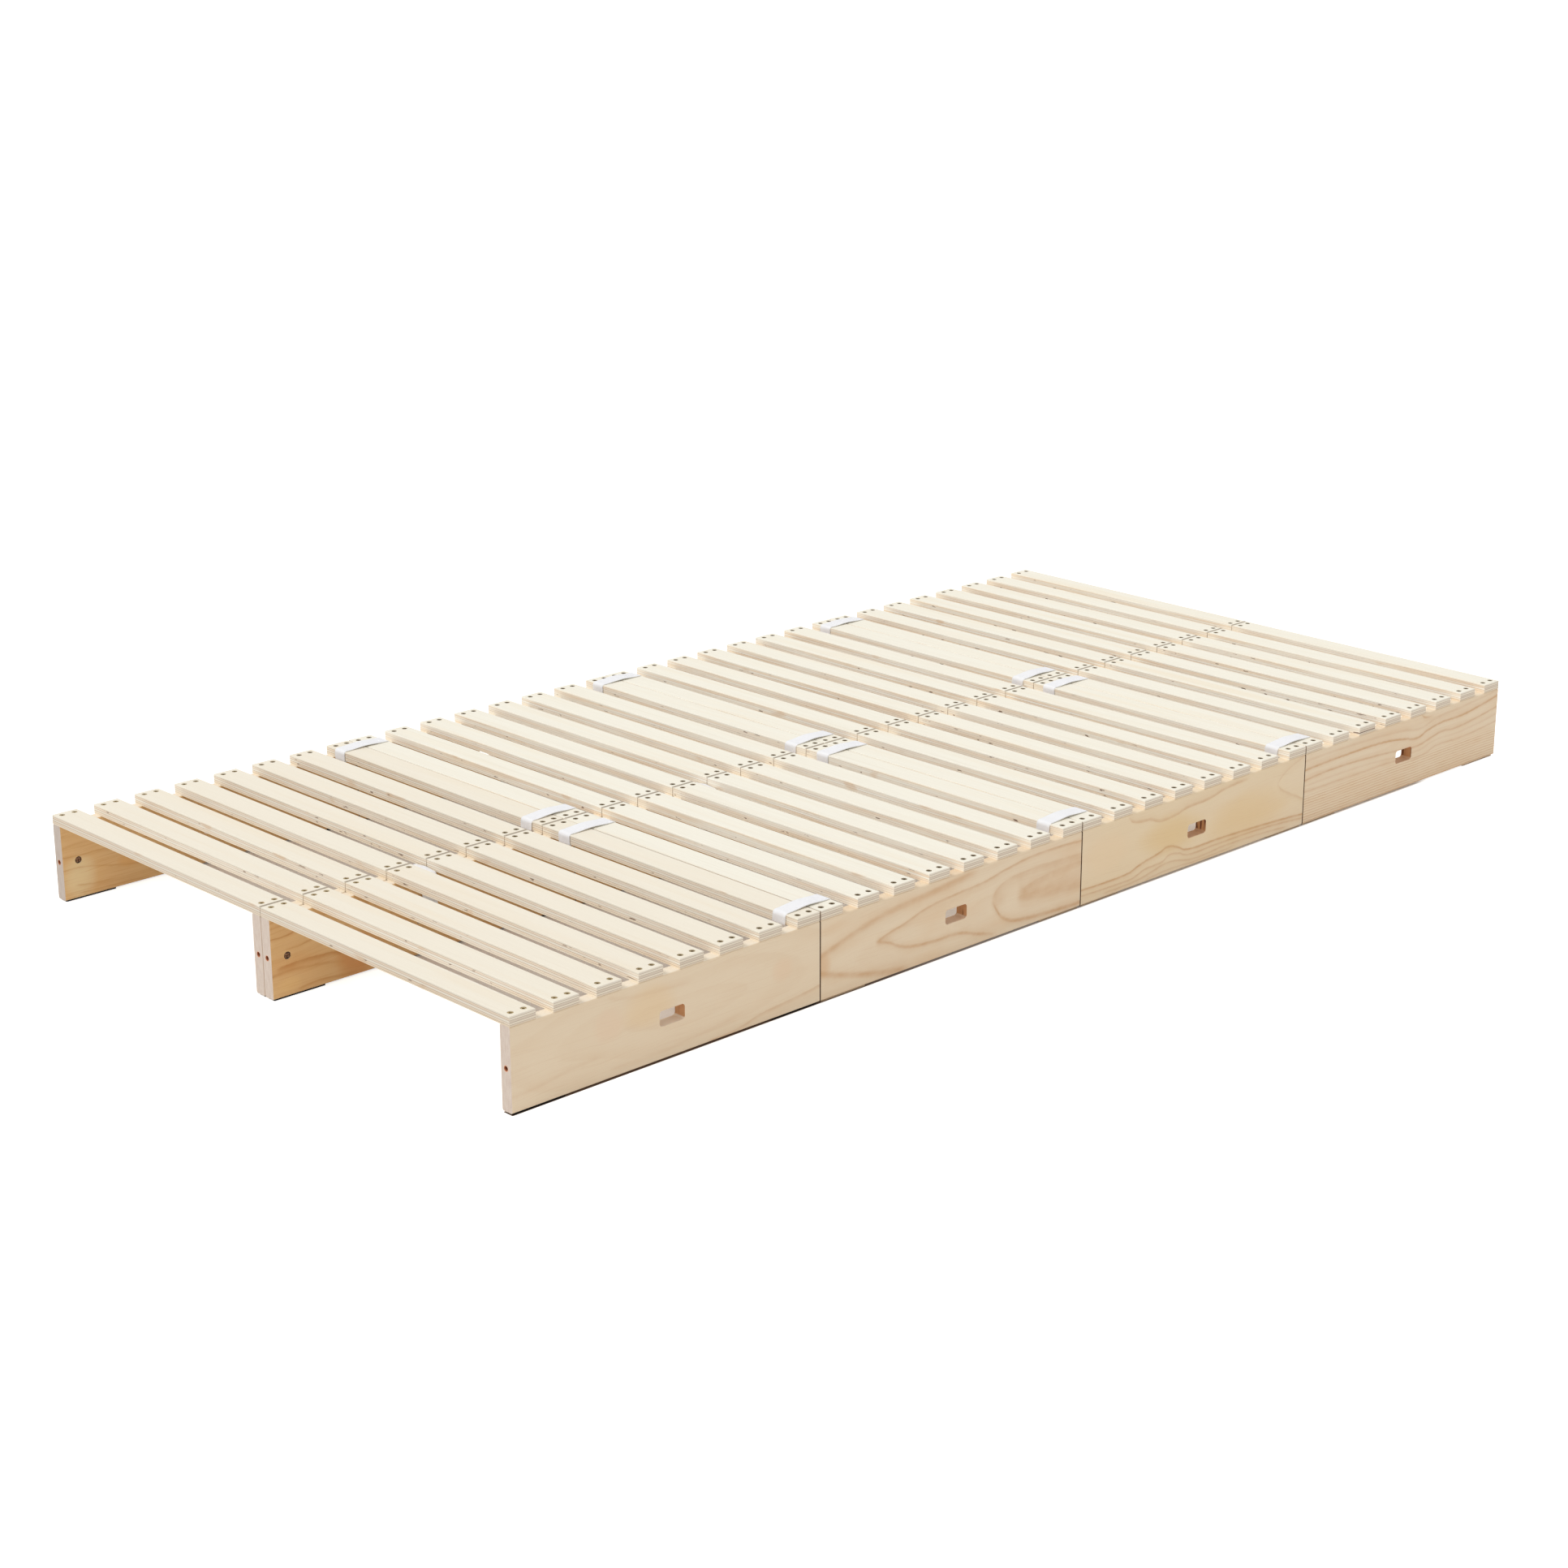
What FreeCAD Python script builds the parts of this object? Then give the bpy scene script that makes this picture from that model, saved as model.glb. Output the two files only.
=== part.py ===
"""Pallet bed: eight slatted pallets in four rows of two, laced together with webbing straps.

Millimetres, X across the bed, Y from the near end to the far end, Z up from the floor.
The origin is the middle of the footprint, on the floor.
"""

import FreeCAD, Part
import Sketcher
import operator
import os

# Sizes of the bed
SIZES = {
    # Pallet footprint, and the joints left between neighbours
    "pallet_width": 493,
    "pallet_length": 488.5,
    "column_gap": 1,
    "row_gap": 2,
    # Rail: a pine board on edge, its long edges eased
    "rail_thick": 18,
    "rail_height": 107,
    "rail_edge_round": 2.5,
    # Hand hole through the middle of each rail
    "hand_hole_length": 40,
    "hand_hole_height": 20,
    "hand_hole_rise": 42,
    "hand_hole_round": 4.5,
    # Bolt bore in each rail end, and the cross dowel that it meets
    "bolt_bore_diameter": 6.5,
    "bolt_bore_rise": 54,
    "bolt_bore_reach": 10,
    "dowel_inset": 24,
    "dowel_diameter": 10,
    "dowel_wall": 2,
    "dowel_sink": 0.8,
    "dowel_clearance": 0.1,
    "dowel_thread": 5,
    "dowel_slot_width": 1.6,
    "dowel_slot_depth": 1.2,
    # Slat: a plywood strip laid across the two rails
    "slat_count": 8,
    "slat_width": 38,
    "slat_thick": 13,
    "slat_arris": 0.6,
    # Countersunk screws, two through each slat end
    "screw_side": 9.5,
    "screw_offset": 1,
    "screw_length": 35,
    "screw_shank_diameter": 4,
    "screw_head_diameter": 7.6,
    "screw_head_height": 2.2,
    "screw_head_sink": 0.5,
    "screw_tip_length": 4,
    "screw_clearance": 0.2,
    "screw_recess_span": 4.2,
    "screw_recess_width": 1.2,
    "screw_recess_depth": 1.6,
    "pilot_clearance": 0.05,
    "pilot_spare_depth": 2,
    # Glide pad under each end of a rail
    "pad_length": 78,
    "pad_width": 14,
    "pad_thick": 2,
    "pad_inset": 2.5,
    "pad_round": 2,
    # Webbing loops round the two slats that meet at a row joint
    "strap_width": 23,
    "strap_thick": 1.5,
    "strap_clearance": 0.4,
    "strap_lift": 1.6,
    "strap_low_round": 2,
    "strap_high_round": 5,
    "strap_rail_gap": 2.5,
    # Webbing loop round the two rails that meet at the middle of a row
    "centre_strap_side_gap": 1.7,
    "centre_strap_slack": 4,
    "centre_strap_round": 6,
    # How far a cutting shape runs past the surface that it opens
    "overrun": 1,
}

# How far each loop sits inside its usual place, as a share of the strap's width.
# One line to a row joint: left column's left and right loop, then the right column's.
STRAP_SLIDE_SHARES = (
    ((0.11, 0.02), (0.65, 0.02)),
    ((-0.08, -0.02), (0.13, 0.15)),
    ((0.02, 0.02), (0.02, 0.02)),
)

ROW_COUNT = 4
COLUMNS = ("left", "right")
CENTRE_STRAP_ROWS = (1, 2)
PARTS_FOLDER = "parts"

OPERATIONS = {
    "+": operator.add,
    "-": operator.sub,
    "*": operator.mul,
    "/": operator.truediv,
}


class Size:
    """A size that carries its number and the sheet formula that it comes from."""

    def __init__(self, number, formula):
        self.number = number
        self.formula = formula

    def __add__(self, other):
        return combine(self, "+", other)

    def __sub__(self, other):
        return combine(self, "-", other)

    def __mul__(self, other):
        return combine(self, "*", other)

    def __rmul__(self, other):
        return combine(other, "*", self)

    def __truediv__(self, other):
        return combine(self, "/", other)

    def __neg__(self):
        return combine(ZERO, "-", self)


def combine(first, sign, second):
    """Join two sizes, or a size and a plain count or share, with one sign."""
    first, second = as_size(first), as_size(second)
    number = OPERATIONS[sign](first.number, second.number)
    return Size(number, f"({first.formula} {sign} {second.formula})")


def as_size(value):
    """Give a plain count or share the form of a size."""
    return value if isinstance(value, Size) else Size(value, f"({value})")


def odd_half(count):
    """Half when the count is odd and nothing when it is even."""
    return Size((count.number % 2) / 2, f"(mod({count.formula}; 2) / 2)")


ZERO = Size(0, "0")


def make_sheet(doc):
    """Write the sizes into the document's sheet and return them as named sizes."""
    sheet = doc.addObject("Spreadsheet::Sheet", "Sizes")
    for line, (name, number) in enumerate(SIZES.items(), start=1):
        sheet.set(f"A{line}", name)
        sheet.set(f"B{line}", str(number))
        sheet.setAlias(f"B{line}", name)
    doc.recompute()
    return {name: Size(sheet.get(name), f"Sizes.{name}") for name in SIZES}


def bind(thing, path, size):
    """Tie one property of an object to the sheet."""
    thing.setExpression(path, as_size(size).formula)


def origin_feature(body, role):
    """Find one of a body's own origin planes or axes."""
    return next(item for item in body.Origin.OriginFeatures if item.Role == role)


def make_body(doc, name, x, y, z):
    """Start a sub-part whose own corner stands at x, y, z in the bed."""
    body = doc.addObject("PartDesign::Body", name)
    body.Label = name
    for axis, place in zip("xyz", (x, y, z)):
        bind(body, f"Placement.Base.{axis}", place)
    return body


def make_sketch(body, name, role, x=ZERO, y=ZERO, z=ZERO):
    """Lay a sketch on an origin plane, moved by x, y and z of that plane's own axes."""
    sketch = body.newObject("Sketcher::SketchObject", name)
    sketch.AttachmentSupport = (origin_feature(body, role), [""])
    sketch.MapMode = "FlatFace"
    for axis, shift in zip("xyz", (x, y, z)):
        if shift is not ZERO:
            bind(sketch, f"AttachmentOffset.Base.{axis}", shift)
    return sketch


def constrain(sketch, name, kind, places, size):
    """Add one driving dimension to a sketch and tie it to the sheet."""
    index = sketch.addConstraint(Sketcher.Constraint(kind, *places, size.number))
    sketch.renameConstraint(index, name)
    bind(sketch, f"Constraints.{name}", size)


def pin_point(sketch, name, line, end, x, y):
    """Hold one end of an edge at x, y from the sketch's origin."""
    if x is ZERO:
        sketch.addConstraint(Sketcher.Constraint("PointOnObject", line, end, -2))
    else:
        constrain(sketch, f"{name}_x", "DistanceX", (-1, 1, line, end), x)
    if y is ZERO:
        sketch.addConstraint(Sketcher.Constraint("PointOnObject", line, end, -1))
    else:
        constrain(sketch, f"{name}_y", "DistanceY", (-1, 1, line, end), y)


def draw_polygon(sketch, points):
    """Draw a closed outline whose corners are all held from the sketch's origin."""
    places = [FreeCAD.Vector(x.number, y.number, 0) for x, y in points]
    lines = []
    for index, start in enumerate(places):
        finish = places[(index + 1) % len(places)]
        lines.append(sketch.addGeometry(Part.LineSegment(start, finish), False))
    for index, line in enumerate(lines):
        follower = lines[(index + 1) % len(lines)]
        sketch.addConstraint(Sketcher.Constraint("Coincident", line, 2, follower, 1))
    for line, (x, y) in zip(lines, points):
        pin_point(sketch, f"corner_{line}", line, 1, x, y)


def draw_circle(sketch, name, x, y, diameter):
    """Draw a circle about x, y."""
    centre = FreeCAD.Vector(x.number, y.number, 0)
    upright = FreeCAD.Vector(0, 0, 1)
    circle = sketch.addGeometry(Part.Circle(centre, upright, diameter.number / 2), False)
    pin_point(sketch, name, circle, 3, x, y)
    constrain(sketch, f"{name}_diameter", "Diameter", (circle,), diameter)


def draw_rounded_box(sketch, name, left, right, low, high, low_round, high_round):
    """Draw a box outline with one radius on its lower and one on its upper corners."""
    middle = FreeCAD.Vector((left.number + right.number) / 2, (low.number + high.number) / 2, 0)
    corners = (
        (left, low, low_round),
        (right, low, low_round),
        (right, high, high_round),
        (left, high, high_round),
    )
    arcs = []
    for x, y, radius in corners:
        towards_x = radius.number if x.number < middle.x else -radius.number
        towards_y = radius.number if y.number < middle.y else -radius.number
        corner = FreeCAD.Vector(x.number, y.number, 0)
        along_x = corner + FreeCAD.Vector(towards_x, 0, 0)
        along_y = corner + FreeCAD.Vector(0, towards_y, 0)
        centre = corner + FreeCAD.Vector(towards_x, towards_y, 0)
        outward = (corner - centre).normalize() * radius.number
        arcs.append((along_x, centre + outward, along_y))
    # Going round anticlockwise, corners 0 and 2 are entered along y and left along x
    ordered = [arc[::-1] if index % 2 == 0 else arc for index, arc in enumerate(arcs)]
    edges = []
    for index, (start, through, finish) in enumerate(ordered):
        next_start = ordered[(index + 1) % len(ordered)][0]
        arc = sketch.addGeometry(Part.Arc(start, through, finish), False)
        line = sketch.addGeometry(Part.LineSegment(finish, next_start), False)
        edges.append((arc, line))
    for index, (arc, line) in enumerate(edges):
        next_arc = edges[(index + 1) % len(edges)][0]
        sketch.addConstraint(Sketcher.Constraint("Tangent", arc, 2, line, 1))
        sketch.addConstraint(Sketcher.Constraint("Tangent", line, 2, next_arc, 1))
        direction = "Horizontal" if index % 2 == 0 else "Vertical"
        sketch.addConstraint(Sketcher.Constraint(direction, line))
    for index, (arc, line) in enumerate(edges):
        constrain(sketch, f"{name}_round_{index}", "Radius", (arc,), corners[index][2])
    hold_line(sketch, f"{name}_low", edges[0][1], "y", low)
    hold_line(sketch, f"{name}_right", edges[1][1], "x", right)
    hold_line(sketch, f"{name}_high", edges[2][1], "y", high)
    hold_line(sketch, f"{name}_left", edges[3][1], "x", left)


def hold_line(sketch, name, line, axis, place):
    """Hold a level or upright line at its place along the other axis."""
    if place is ZERO:
        own_axis = -1 if axis == "y" else -2
        sketch.addConstraint(Sketcher.Constraint("PointOnObject", line, 1, own_axis))
    else:
        constrain(sketch, name, f"Distance{axis.upper()}", (-1, 1, line, 1), place)


def draw_cross(sketch, x, y, span, width):
    """Draw a plus sign of equal arms about x, y."""
    reach, half = span / 2, width / 2
    draw_polygon(sketch, (
        (x - half, y - reach), (x + half, y - reach), (x + half, y - half),
        (x + reach, y - half), (x + reach, y + half), (x + half, y + half),
        (x + half, y + reach), (x - half, y + reach), (x - half, y + half),
        (x - reach, y + half), (x - reach, y - half), (x - half, y - half),
    ))


def extrude(body, name, kind, sketch, length, reverse=False):
    """Pad or pocket a sketch by one length."""
    feature = body.newObject(f"PartDesign::{kind}", name)
    feature.Profile = sketch
    feature.Reversed = reverse
    bind(feature, "Length", length)
    return feature


def turn(body, name, kind, sketch):
    """Revolve a half outline right round the sketch's upright axis."""
    feature = body.newObject(f"PartDesign::{kind}", name)
    feature.Profile = sketch
    feature.ReferenceAxis = (sketch, ["V_Axis"])
    feature.Angle = 360
    return feature


def lay_row(pattern, body, axis, reach, count, axis_2=None, reach_2=None, count_2=None):
    """Set a pattern to a row, or to a grid when it has a second axis.

    A reach is the distance from the first copy to the last one.
    """
    pattern.Direction = (origin_feature(body, axis), [""])
    bind(pattern, "Length", reach)
    bind(pattern, "Occurrences", count)
    if axis_2:
        pattern.Direction2 = (origin_feature(body, axis_2), [""])
        bind(pattern, "Length2", reach_2)
        bind(pattern, "Occurrences2", count_2)


def repeat(body, name, originals, *row):
    """Repeat features in one row or one grid."""
    pattern = body.newObject("PartDesign::LinearPattern", name)
    pattern.Originals = originals
    lay_row(pattern, body, *row)
    body.Tip = pattern
    return pattern


def mirror(body, name, originals, plane):
    """Mirror features about a plane."""
    mirrored = body.newObject("PartDesign::Mirrored", name)
    mirrored.Originals = originals
    mirrored.MirrorPlane = (plane, [""])
    body.Tip = mirrored
    return mirrored


def repeat_twice(body, name, originals, first_step, second_step):
    """Repeat features by one step, then repeat all of that by another.

    A step is a row or grid, as lay_row takes it, or a plane to mirror about.
    """
    multiple = body.newObject("PartDesign::MultiTransform", name)
    multiple.Originals = originals
    steps = []
    for number, step in enumerate((first_step, second_step), start=1):
        is_row = isinstance(step, tuple)
        kind = "LinearPattern" if is_row else "Mirrored"
        feature = body.Document.addObject(f"PartDesign::{kind}", f"{name}_step_{number}")
        body.addObject(feature)
        if is_row:
            lay_row(feature, body, *step)
        else:
            feature.MirrorPlane = (step, [""])
        steps.append(feature)
    multiple.Transformations = steps
    body.Tip = multiple
    return multiple


def middle_plane(body, name, role, distance):
    """Set up a plane beside an origin plane, for mirroring."""
    plane = body.newObject("PartDesign::Plane", name)
    plane.AttachmentSupport = (origin_feature(body, role), [""])
    plane.MapMode = "FlatFace"
    bind(plane, "AttachmentOffset.Base.z", distance)
    return plane


def derive(size):
    """Work out the places that several sub-parts share."""
    s = dict(size)
    s["slats_reach"] = s["pallet_length"] - s["slat_width"]
    s["slat_pitch"] = s["slats_reach"] / (s["slat_count"] - 1)
    s["slat_gap"] = s["slat_pitch"] - s["slat_width"]
    s["slat_base"] = s["pad_thick"] + s["rail_height"]
    s["slat_top"] = s["slat_base"] + s["slat_thick"]
    s["screw_inset"] = s["rail_thick"] / 2 + s["screw_offset"]
    s["row_pitch"] = s["pallet_length"] + s["row_gap"]
    s["bed_length"] = s["row_pitch"] * ROW_COUNT - s["row_gap"]
    s["middle_gap"] = s["pallet_length"] / 2 + odd_half(s["slat_count"]) * s["slat_pitch"]
    s["hand_hole_top"] = s["hand_hole_rise"] + s["hand_hole_height"]
    return s


def row_start(s, row):
    """Y of the near end of a row, counted from 1."""
    return s["row_pitch"] * (row - 1) - s["bed_length"] / 2


def column_start(s, column):
    """X of the left side of a column."""
    half_gap = s["column_gap"] / 2
    return half_gap if column == "right" else -(half_gap + s["pallet_width"])


def screw_places(s):
    """Places of the screws in one slat, from the slat's near left corner."""
    across = (s["screw_inset"], s["pallet_width"] - s["screw_inset"])
    along = (s["screw_side"], s["slat_width"] - s["screw_side"])
    return [(x, y) for x in across for y in along]


def screw_grid(s):
    """Grid of the screws in one slat."""
    return (
        "X_Axis", s["pallet_width"] - s["screw_inset"] * 2, as_size(2),
        "Y_Axis", s["slat_width"] - s["screw_side"] * 2, as_size(2),
    )


def slat_row(s):
    """Row of a pallet's slats."""
    return ("Y_Axis", s["slats_reach"], s["slat_count"])


def make_rail(doc, name, s, x, inner_on_right):
    """Make one rail: hand hole, bolt bores, cross dowel bores and screw pilots.

    The outer face carries nothing; the cross dowels go in from the inner face.
    """
    body = make_body(doc, name, x, ZERO, s["pad_thick"])

    section = make_sketch(body, f"{name}_section", "XZ_Plane")
    draw_rounded_box(section, "board", ZERO, s["rail_thick"], ZERO, s["rail_height"],
                     s["rail_edge_round"], s["rail_edge_round"])
    extrude(body, f"{name}_board", "Pad", section, s["pallet_length"], reverse=True)

    hole_start = s["middle_gap"] - s["hand_hole_length"] / 2
    hole = make_sketch(body, f"{name}_hand_hole_outline", "YZ_Plane",
                       x=hole_start, y=s["hand_hole_rise"], z=-s["overrun"])
    draw_rounded_box(hole, "hole", ZERO, s["hand_hole_length"], ZERO, s["hand_hole_height"],
                     s["hand_hole_round"], s["hand_hole_round"])
    extrude(body, f"{name}_hand_hole", "Pocket", hole,
            s["rail_thick"] + s["overrun"] * 2, reverse=True)

    half_way = middle_plane(body, f"{name}_half_way", "XZ_Plane", -s["pallet_length"] / 2)
    bore = make_sketch(body, f"{name}_bolt_bore_outline", "XZ_Plane", z=s["overrun"])
    draw_circle(bore, "bore", s["rail_thick"] / 2, s["bolt_bore_rise"], s["bolt_bore_diameter"])
    bolt_bore = extrude(body, f"{name}_bolt_bore", "Pocket", bore,
                        s["overrun"] + s["dowel_inset"] + s["bolt_bore_reach"])

    dowel = make_sketch(body, f"{name}_dowel_bore_outline", "YZ_Plane",
                        z=s["rail_thick"] + s["overrun"] if inner_on_right else -s["overrun"])
    draw_circle(dowel, "bore", s["dowel_inset"], s["bolt_bore_rise"], s["dowel_diameter"])
    dowel_bore = extrude(body, f"{name}_dowel_bore", "Pocket", dowel,
                         s["overrun"] + s["rail_thick"] - s["dowel_wall"],
                         reverse=not inner_on_right)
    mirror(body, f"{name}_far_bores", [bolt_bore, dowel_bore], half_way)

    inset = s["screw_inset"] if inner_on_right else s["rail_thick"] - s["screw_inset"]
    pilots = make_sketch(body, f"{name}_pilot_outline", "XY_Plane",
                         z=s["rail_height"] + s["overrun"])
    pilot_diameter = s["screw_shank_diameter"] + s["pilot_clearance"] * 2
    draw_circle(pilots, "near", inset, s["screw_side"], pilot_diameter)
    draw_circle(pilots, "far", inset, s["slat_width"] - s["screw_side"], pilot_diameter)
    depth = s["screw_length"] + s["screw_head_sink"] - s["slat_thick"] + s["pilot_spare_depth"]
    pilot = extrude(body, f"{name}_pilot", "Pocket", pilots, s["overrun"] + depth)
    repeat(body, f"{name}_pilots", [pilot], *slat_row(s))
    return body


def make_slats(doc, name, s):
    """Make a pallet's slats, each with a countersunk hole for every screw."""
    body = make_body(doc, name, ZERO, ZERO, s["slat_base"])

    arris = s["slat_arris"]
    section = make_sketch(body, f"{name}_section", "YZ_Plane")
    draw_polygon(section, (
        (ZERO, ZERO),
        (s["slat_width"], ZERO),
        (s["slat_width"], s["slat_thick"] - arris),
        (s["slat_width"] - arris, s["slat_thick"]),
        (arris, s["slat_thick"]),
        (ZERO, s["slat_thick"] - arris),
    ))
    strip = extrude(body, f"{name}_strip", "Pad", section, s["pallet_width"])
    repeat(body, f"{name}_strips", [strip], *slat_row(s))

    shank = s["screw_shank_diameter"] / 2 + s["screw_clearance"]
    head = s["screw_head_diameter"] / 2 + s["screw_clearance"]
    face = s["overrun"] + s["slat_thick"]
    seat = face - s["screw_head_sink"]
    outline = make_sketch(body, f"{name}_countersink_outline", "XZ_Plane",
                          x=s["screw_inset"], y=-s["overrun"], z=-s["screw_side"])
    draw_polygon(outline, (
        (ZERO, ZERO),
        (shank, ZERO),
        (shank, seat - s["screw_head_height"]),
        (head, seat),
        (head, face + s["overrun"]),
        (ZERO, face + s["overrun"]),
    ))
    countersink = turn(body, f"{name}_countersink", "Groove", outline)
    repeat_twice(body, f"{name}_countersinks", [countersink], screw_grid(s), slat_row(s))
    return body


def make_screws(doc, name, s):
    """Make a pallet's wood screws, four to a slat, with cross recesses in their heads."""
    tip_height = s["slat_top"] - s["screw_head_sink"] - s["screw_length"]
    body = make_body(doc, name, ZERO, ZERO, tip_height)

    shank = s["screw_shank_diameter"] / 2
    head = s["screw_head_diameter"] / 2
    outline = make_sketch(body, f"{name}_outline", "XZ_Plane",
                          x=s["screw_inset"], z=-s["screw_side"])
    draw_polygon(outline, (
        (ZERO, ZERO),
        (shank, s["screw_tip_length"]),
        (shank, s["screw_length"] - s["screw_head_height"]),
        (head, s["screw_length"]),
        (ZERO, s["screw_length"]),
    ))
    shank_and_head = turn(body, f"{name}_shank", "Revolution", outline)
    repeat_twice(body, f"{name}_shanks", [shank_and_head], screw_grid(s), slat_row(s))

    recess = make_sketch(body, f"{name}_recess_outline", "XY_Plane",
                         z=s["screw_length"] + s["overrun"])
    for x, y in screw_places(s):
        draw_cross(recess, x, y, s["screw_recess_span"], s["screw_recess_width"])
    crosses = extrude(body, f"{name}_recess", "Pocket", recess,
                      s["overrun"] + s["screw_recess_depth"])
    repeat(body, f"{name}_recesses", [crosses], *slat_row(s))
    return body


def make_pads(doc, name, s):
    """Make a pallet's glide pads, one under each end of both rails."""
    body = make_body(doc, name, ZERO, ZERO, ZERO)
    outline = make_sketch(body, f"{name}_outline", "XY_Plane",
                          x=(s["rail_thick"] - s["pad_width"]) / 2, y=s["pad_inset"])
    draw_rounded_box(outline, "pad", ZERO, s["pad_width"], ZERO, s["pad_length"],
                     s["pad_round"], s["pad_round"])
    pad = extrude(body, f"{name}_pad", "Pad", outline, s["pad_thick"])
    repeat(body, f"{name}_grid", [pad],
           "X_Axis", s["pallet_width"] - s["rail_thick"], as_size(2),
           "Y_Axis", s["pallet_length"] - s["pad_length"] - s["pad_inset"] * 2, as_size(2))
    return body


def make_cross_dowels(doc, name, s):
    """Make a pallet's cross dowels: slotted barrel nuts near each end of both rails."""
    body = make_body(doc, name, ZERO, ZERO, s["pad_thick"])
    diameter = s["dowel_diameter"] - s["dowel_clearance"] * 2
    length = s["rail_thick"] - s["dowel_wall"] - s["dowel_sink"]

    outline = make_sketch(body, f"{name}_outline", "YZ_Plane", z=s["dowel_wall"])
    draw_circle(outline, "barrel", s["dowel_inset"], s["bolt_bore_rise"], diameter)
    barrel = extrude(body, f"{name}_barrel", "Pad", outline, length)

    thread = make_sketch(body, f"{name}_thread_outline", "XZ_Plane")
    draw_circle(thread, "thread", s["rail_thick"] / 2, s["bolt_bore_rise"], s["dowel_thread"])
    bore = extrude(body, f"{name}_thread", "Pocket", thread,
                   s["dowel_inset"] + s["dowel_diameter"])

    slot = make_sketch(body, f"{name}_slot_outline", "YZ_Plane",
                       z=s["dowel_wall"] + length + s["overrun"])
    draw_cross(slot, s["dowel_inset"], s["bolt_bore_rise"], diameter, s["dowel_slot_width"])
    cross = extrude(body, f"{name}_slot", "Pocket", slot, s["overrun"] + s["dowel_slot_depth"])

    half_way = middle_plane(body, f"{name}_half_way", "YZ_Plane", s["pallet_width"] / 2)
    rail_row = ("Y_Axis", s["pallet_length"] - s["dowel_inset"] * 2, as_size(2))
    repeat_twice(body, f"{name}_all", [barrel, bore, cross], rail_row, half_way)
    return body


def make_strap_loops(doc, name, s, column, row, slide_shares):
    """Make the two webbing loops of one column that join a row to the next one.

    Each loop goes round the last slat of the row and the first slat of the next, just
    inside the rails, and lies a little slack on top.
    """
    thick, clear = s["strap_thick"], s["strap_clearance"]
    width = (s["slat_width"] + clear + thick) * 2 + s["row_gap"]
    height = s["slat_thick"] + clear + s["strap_lift"] + thick * 2
    joint = row_start(s, row) + s["pallet_length"] + s["row_gap"] / 2
    body = make_body(doc, name, column_start(s, column), joint - width / 2,
                     s["slat_base"] - clear - thick)

    usual = s["rail_thick"] + s["strap_rail_gap"]
    left_inset, right_inset = (usual + s["strap_width"] * share for share in slide_shares)
    section = make_sketch(body, f"{name}_section", "YZ_Plane", z=left_inset)
    draw_rounded_box(section, "outside", ZERO, width, ZERO, height,
                     s["strap_low_round"], s["strap_high_round"])
    draw_rounded_box(section, "inside", thick, width - thick, thick, height - thick,
                     s["strap_low_round"] - thick, s["strap_high_round"] - thick)
    loop = extrude(body, f"{name}_loop", "Pad", section, s["strap_width"])
    between = s["pallet_width"] - s["strap_width"] - left_inset - right_inset
    repeat(body, f"{name}_pair", [loop], "X_Axis", between, as_size(2))
    return body


def make_centre_strap(doc, name, s, row):
    """Make the webbing loop that ties the two middle rails of a row together.

    It goes over the rails in the gap between the two middle slats, and back through
    their hand holes.
    """
    thick, clear = s["strap_thick"], s["strap_clearance"]
    width = (s["rail_thick"] + s["centre_strap_slack"] + thick) * 2 + s["column_gap"]
    height = s["rail_height"] - s["hand_hole_top"] + (clear + thick) * 2
    across = s["slat_gap"] - s["centre_strap_side_gap"] * 2
    body = make_body(doc, name, -width / 2,
                     row_start(s, row) + s["middle_gap"] - across / 2,
                     s["pad_thick"] + s["hand_hole_top"] - clear - thick)
    section = make_sketch(body, f"{name}_section", "XZ_Plane")
    outside, inside = s["centre_strap_round"], s["centre_strap_round"] - thick
    draw_rounded_box(section, "outside", ZERO, width, ZERO, height, outside, outside)
    draw_rounded_box(section, "inside", thick, width - thick, thick, height - thick,
                     inside, inside)
    extrude(body, f"{name}_loop", "Pad", section, across, reverse=True)
    return body


def make_pallet_parts(doc, s):
    """Make the sub-parts of one pallet, standing at the origin, for all eight to copy."""
    far_rail_x = s["pallet_width"] - s["rail_thick"]
    return {
        "rail_left": make_rail(doc, "pallet_rail_left", s, ZERO, inner_on_right=True),
        "rail_right": make_rail(doc, "pallet_rail_right", s, far_rail_x, inner_on_right=False),
        "slats": make_slats(doc, "pallet_slats", s),
        "screws": make_screws(doc, "pallet_screws", s),
        "pads": make_pads(doc, "pallet_pads", s),
        "cross_dowels": make_cross_dowels(doc, "pallet_cross_dowels", s),
    }


def rail_label(column, side):
    """Name a rail by whether it lies on the outside of the bed or on its middle."""
    return "rail_outer" if column == side else "rail_inner"


def place_pallet(doc, s, pallet_parts, row, column):
    """Put a copy of every sub-part of a pallet in its row and column."""
    copies = []
    for kind, original in pallet_parts.items():
        label = rail_label(column, kind[len("rail_"):]) if kind.startswith("rail_") else kind
        name = f"row{row}_{column}_{label}"
        copy = doc.addObject("Part::Compound", name)
        copy.Label = name
        copy.Links = [original]
        bind(copy, "Placement.Base.x", column_start(s, column))
        bind(copy, "Placement.Base.y", row_start(s, row))
        copies.append(copy)
    return copies


def check(doc, sub_parts):
    """Stop if any object failed, or any sub-part is empty or broken."""
    for item in doc.Objects:
        if "Invalid" in item.State or "Error" in item.State:
            raise RuntimeError(f"{item.Label} failed: {item.State}")
    for item in sub_parts:
        if item.Shape.isNull() or not item.Shape.isValid() or not item.Shape.Solids:
            raise RuntimeError(f"{item.Label} has no sound solid")


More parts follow.
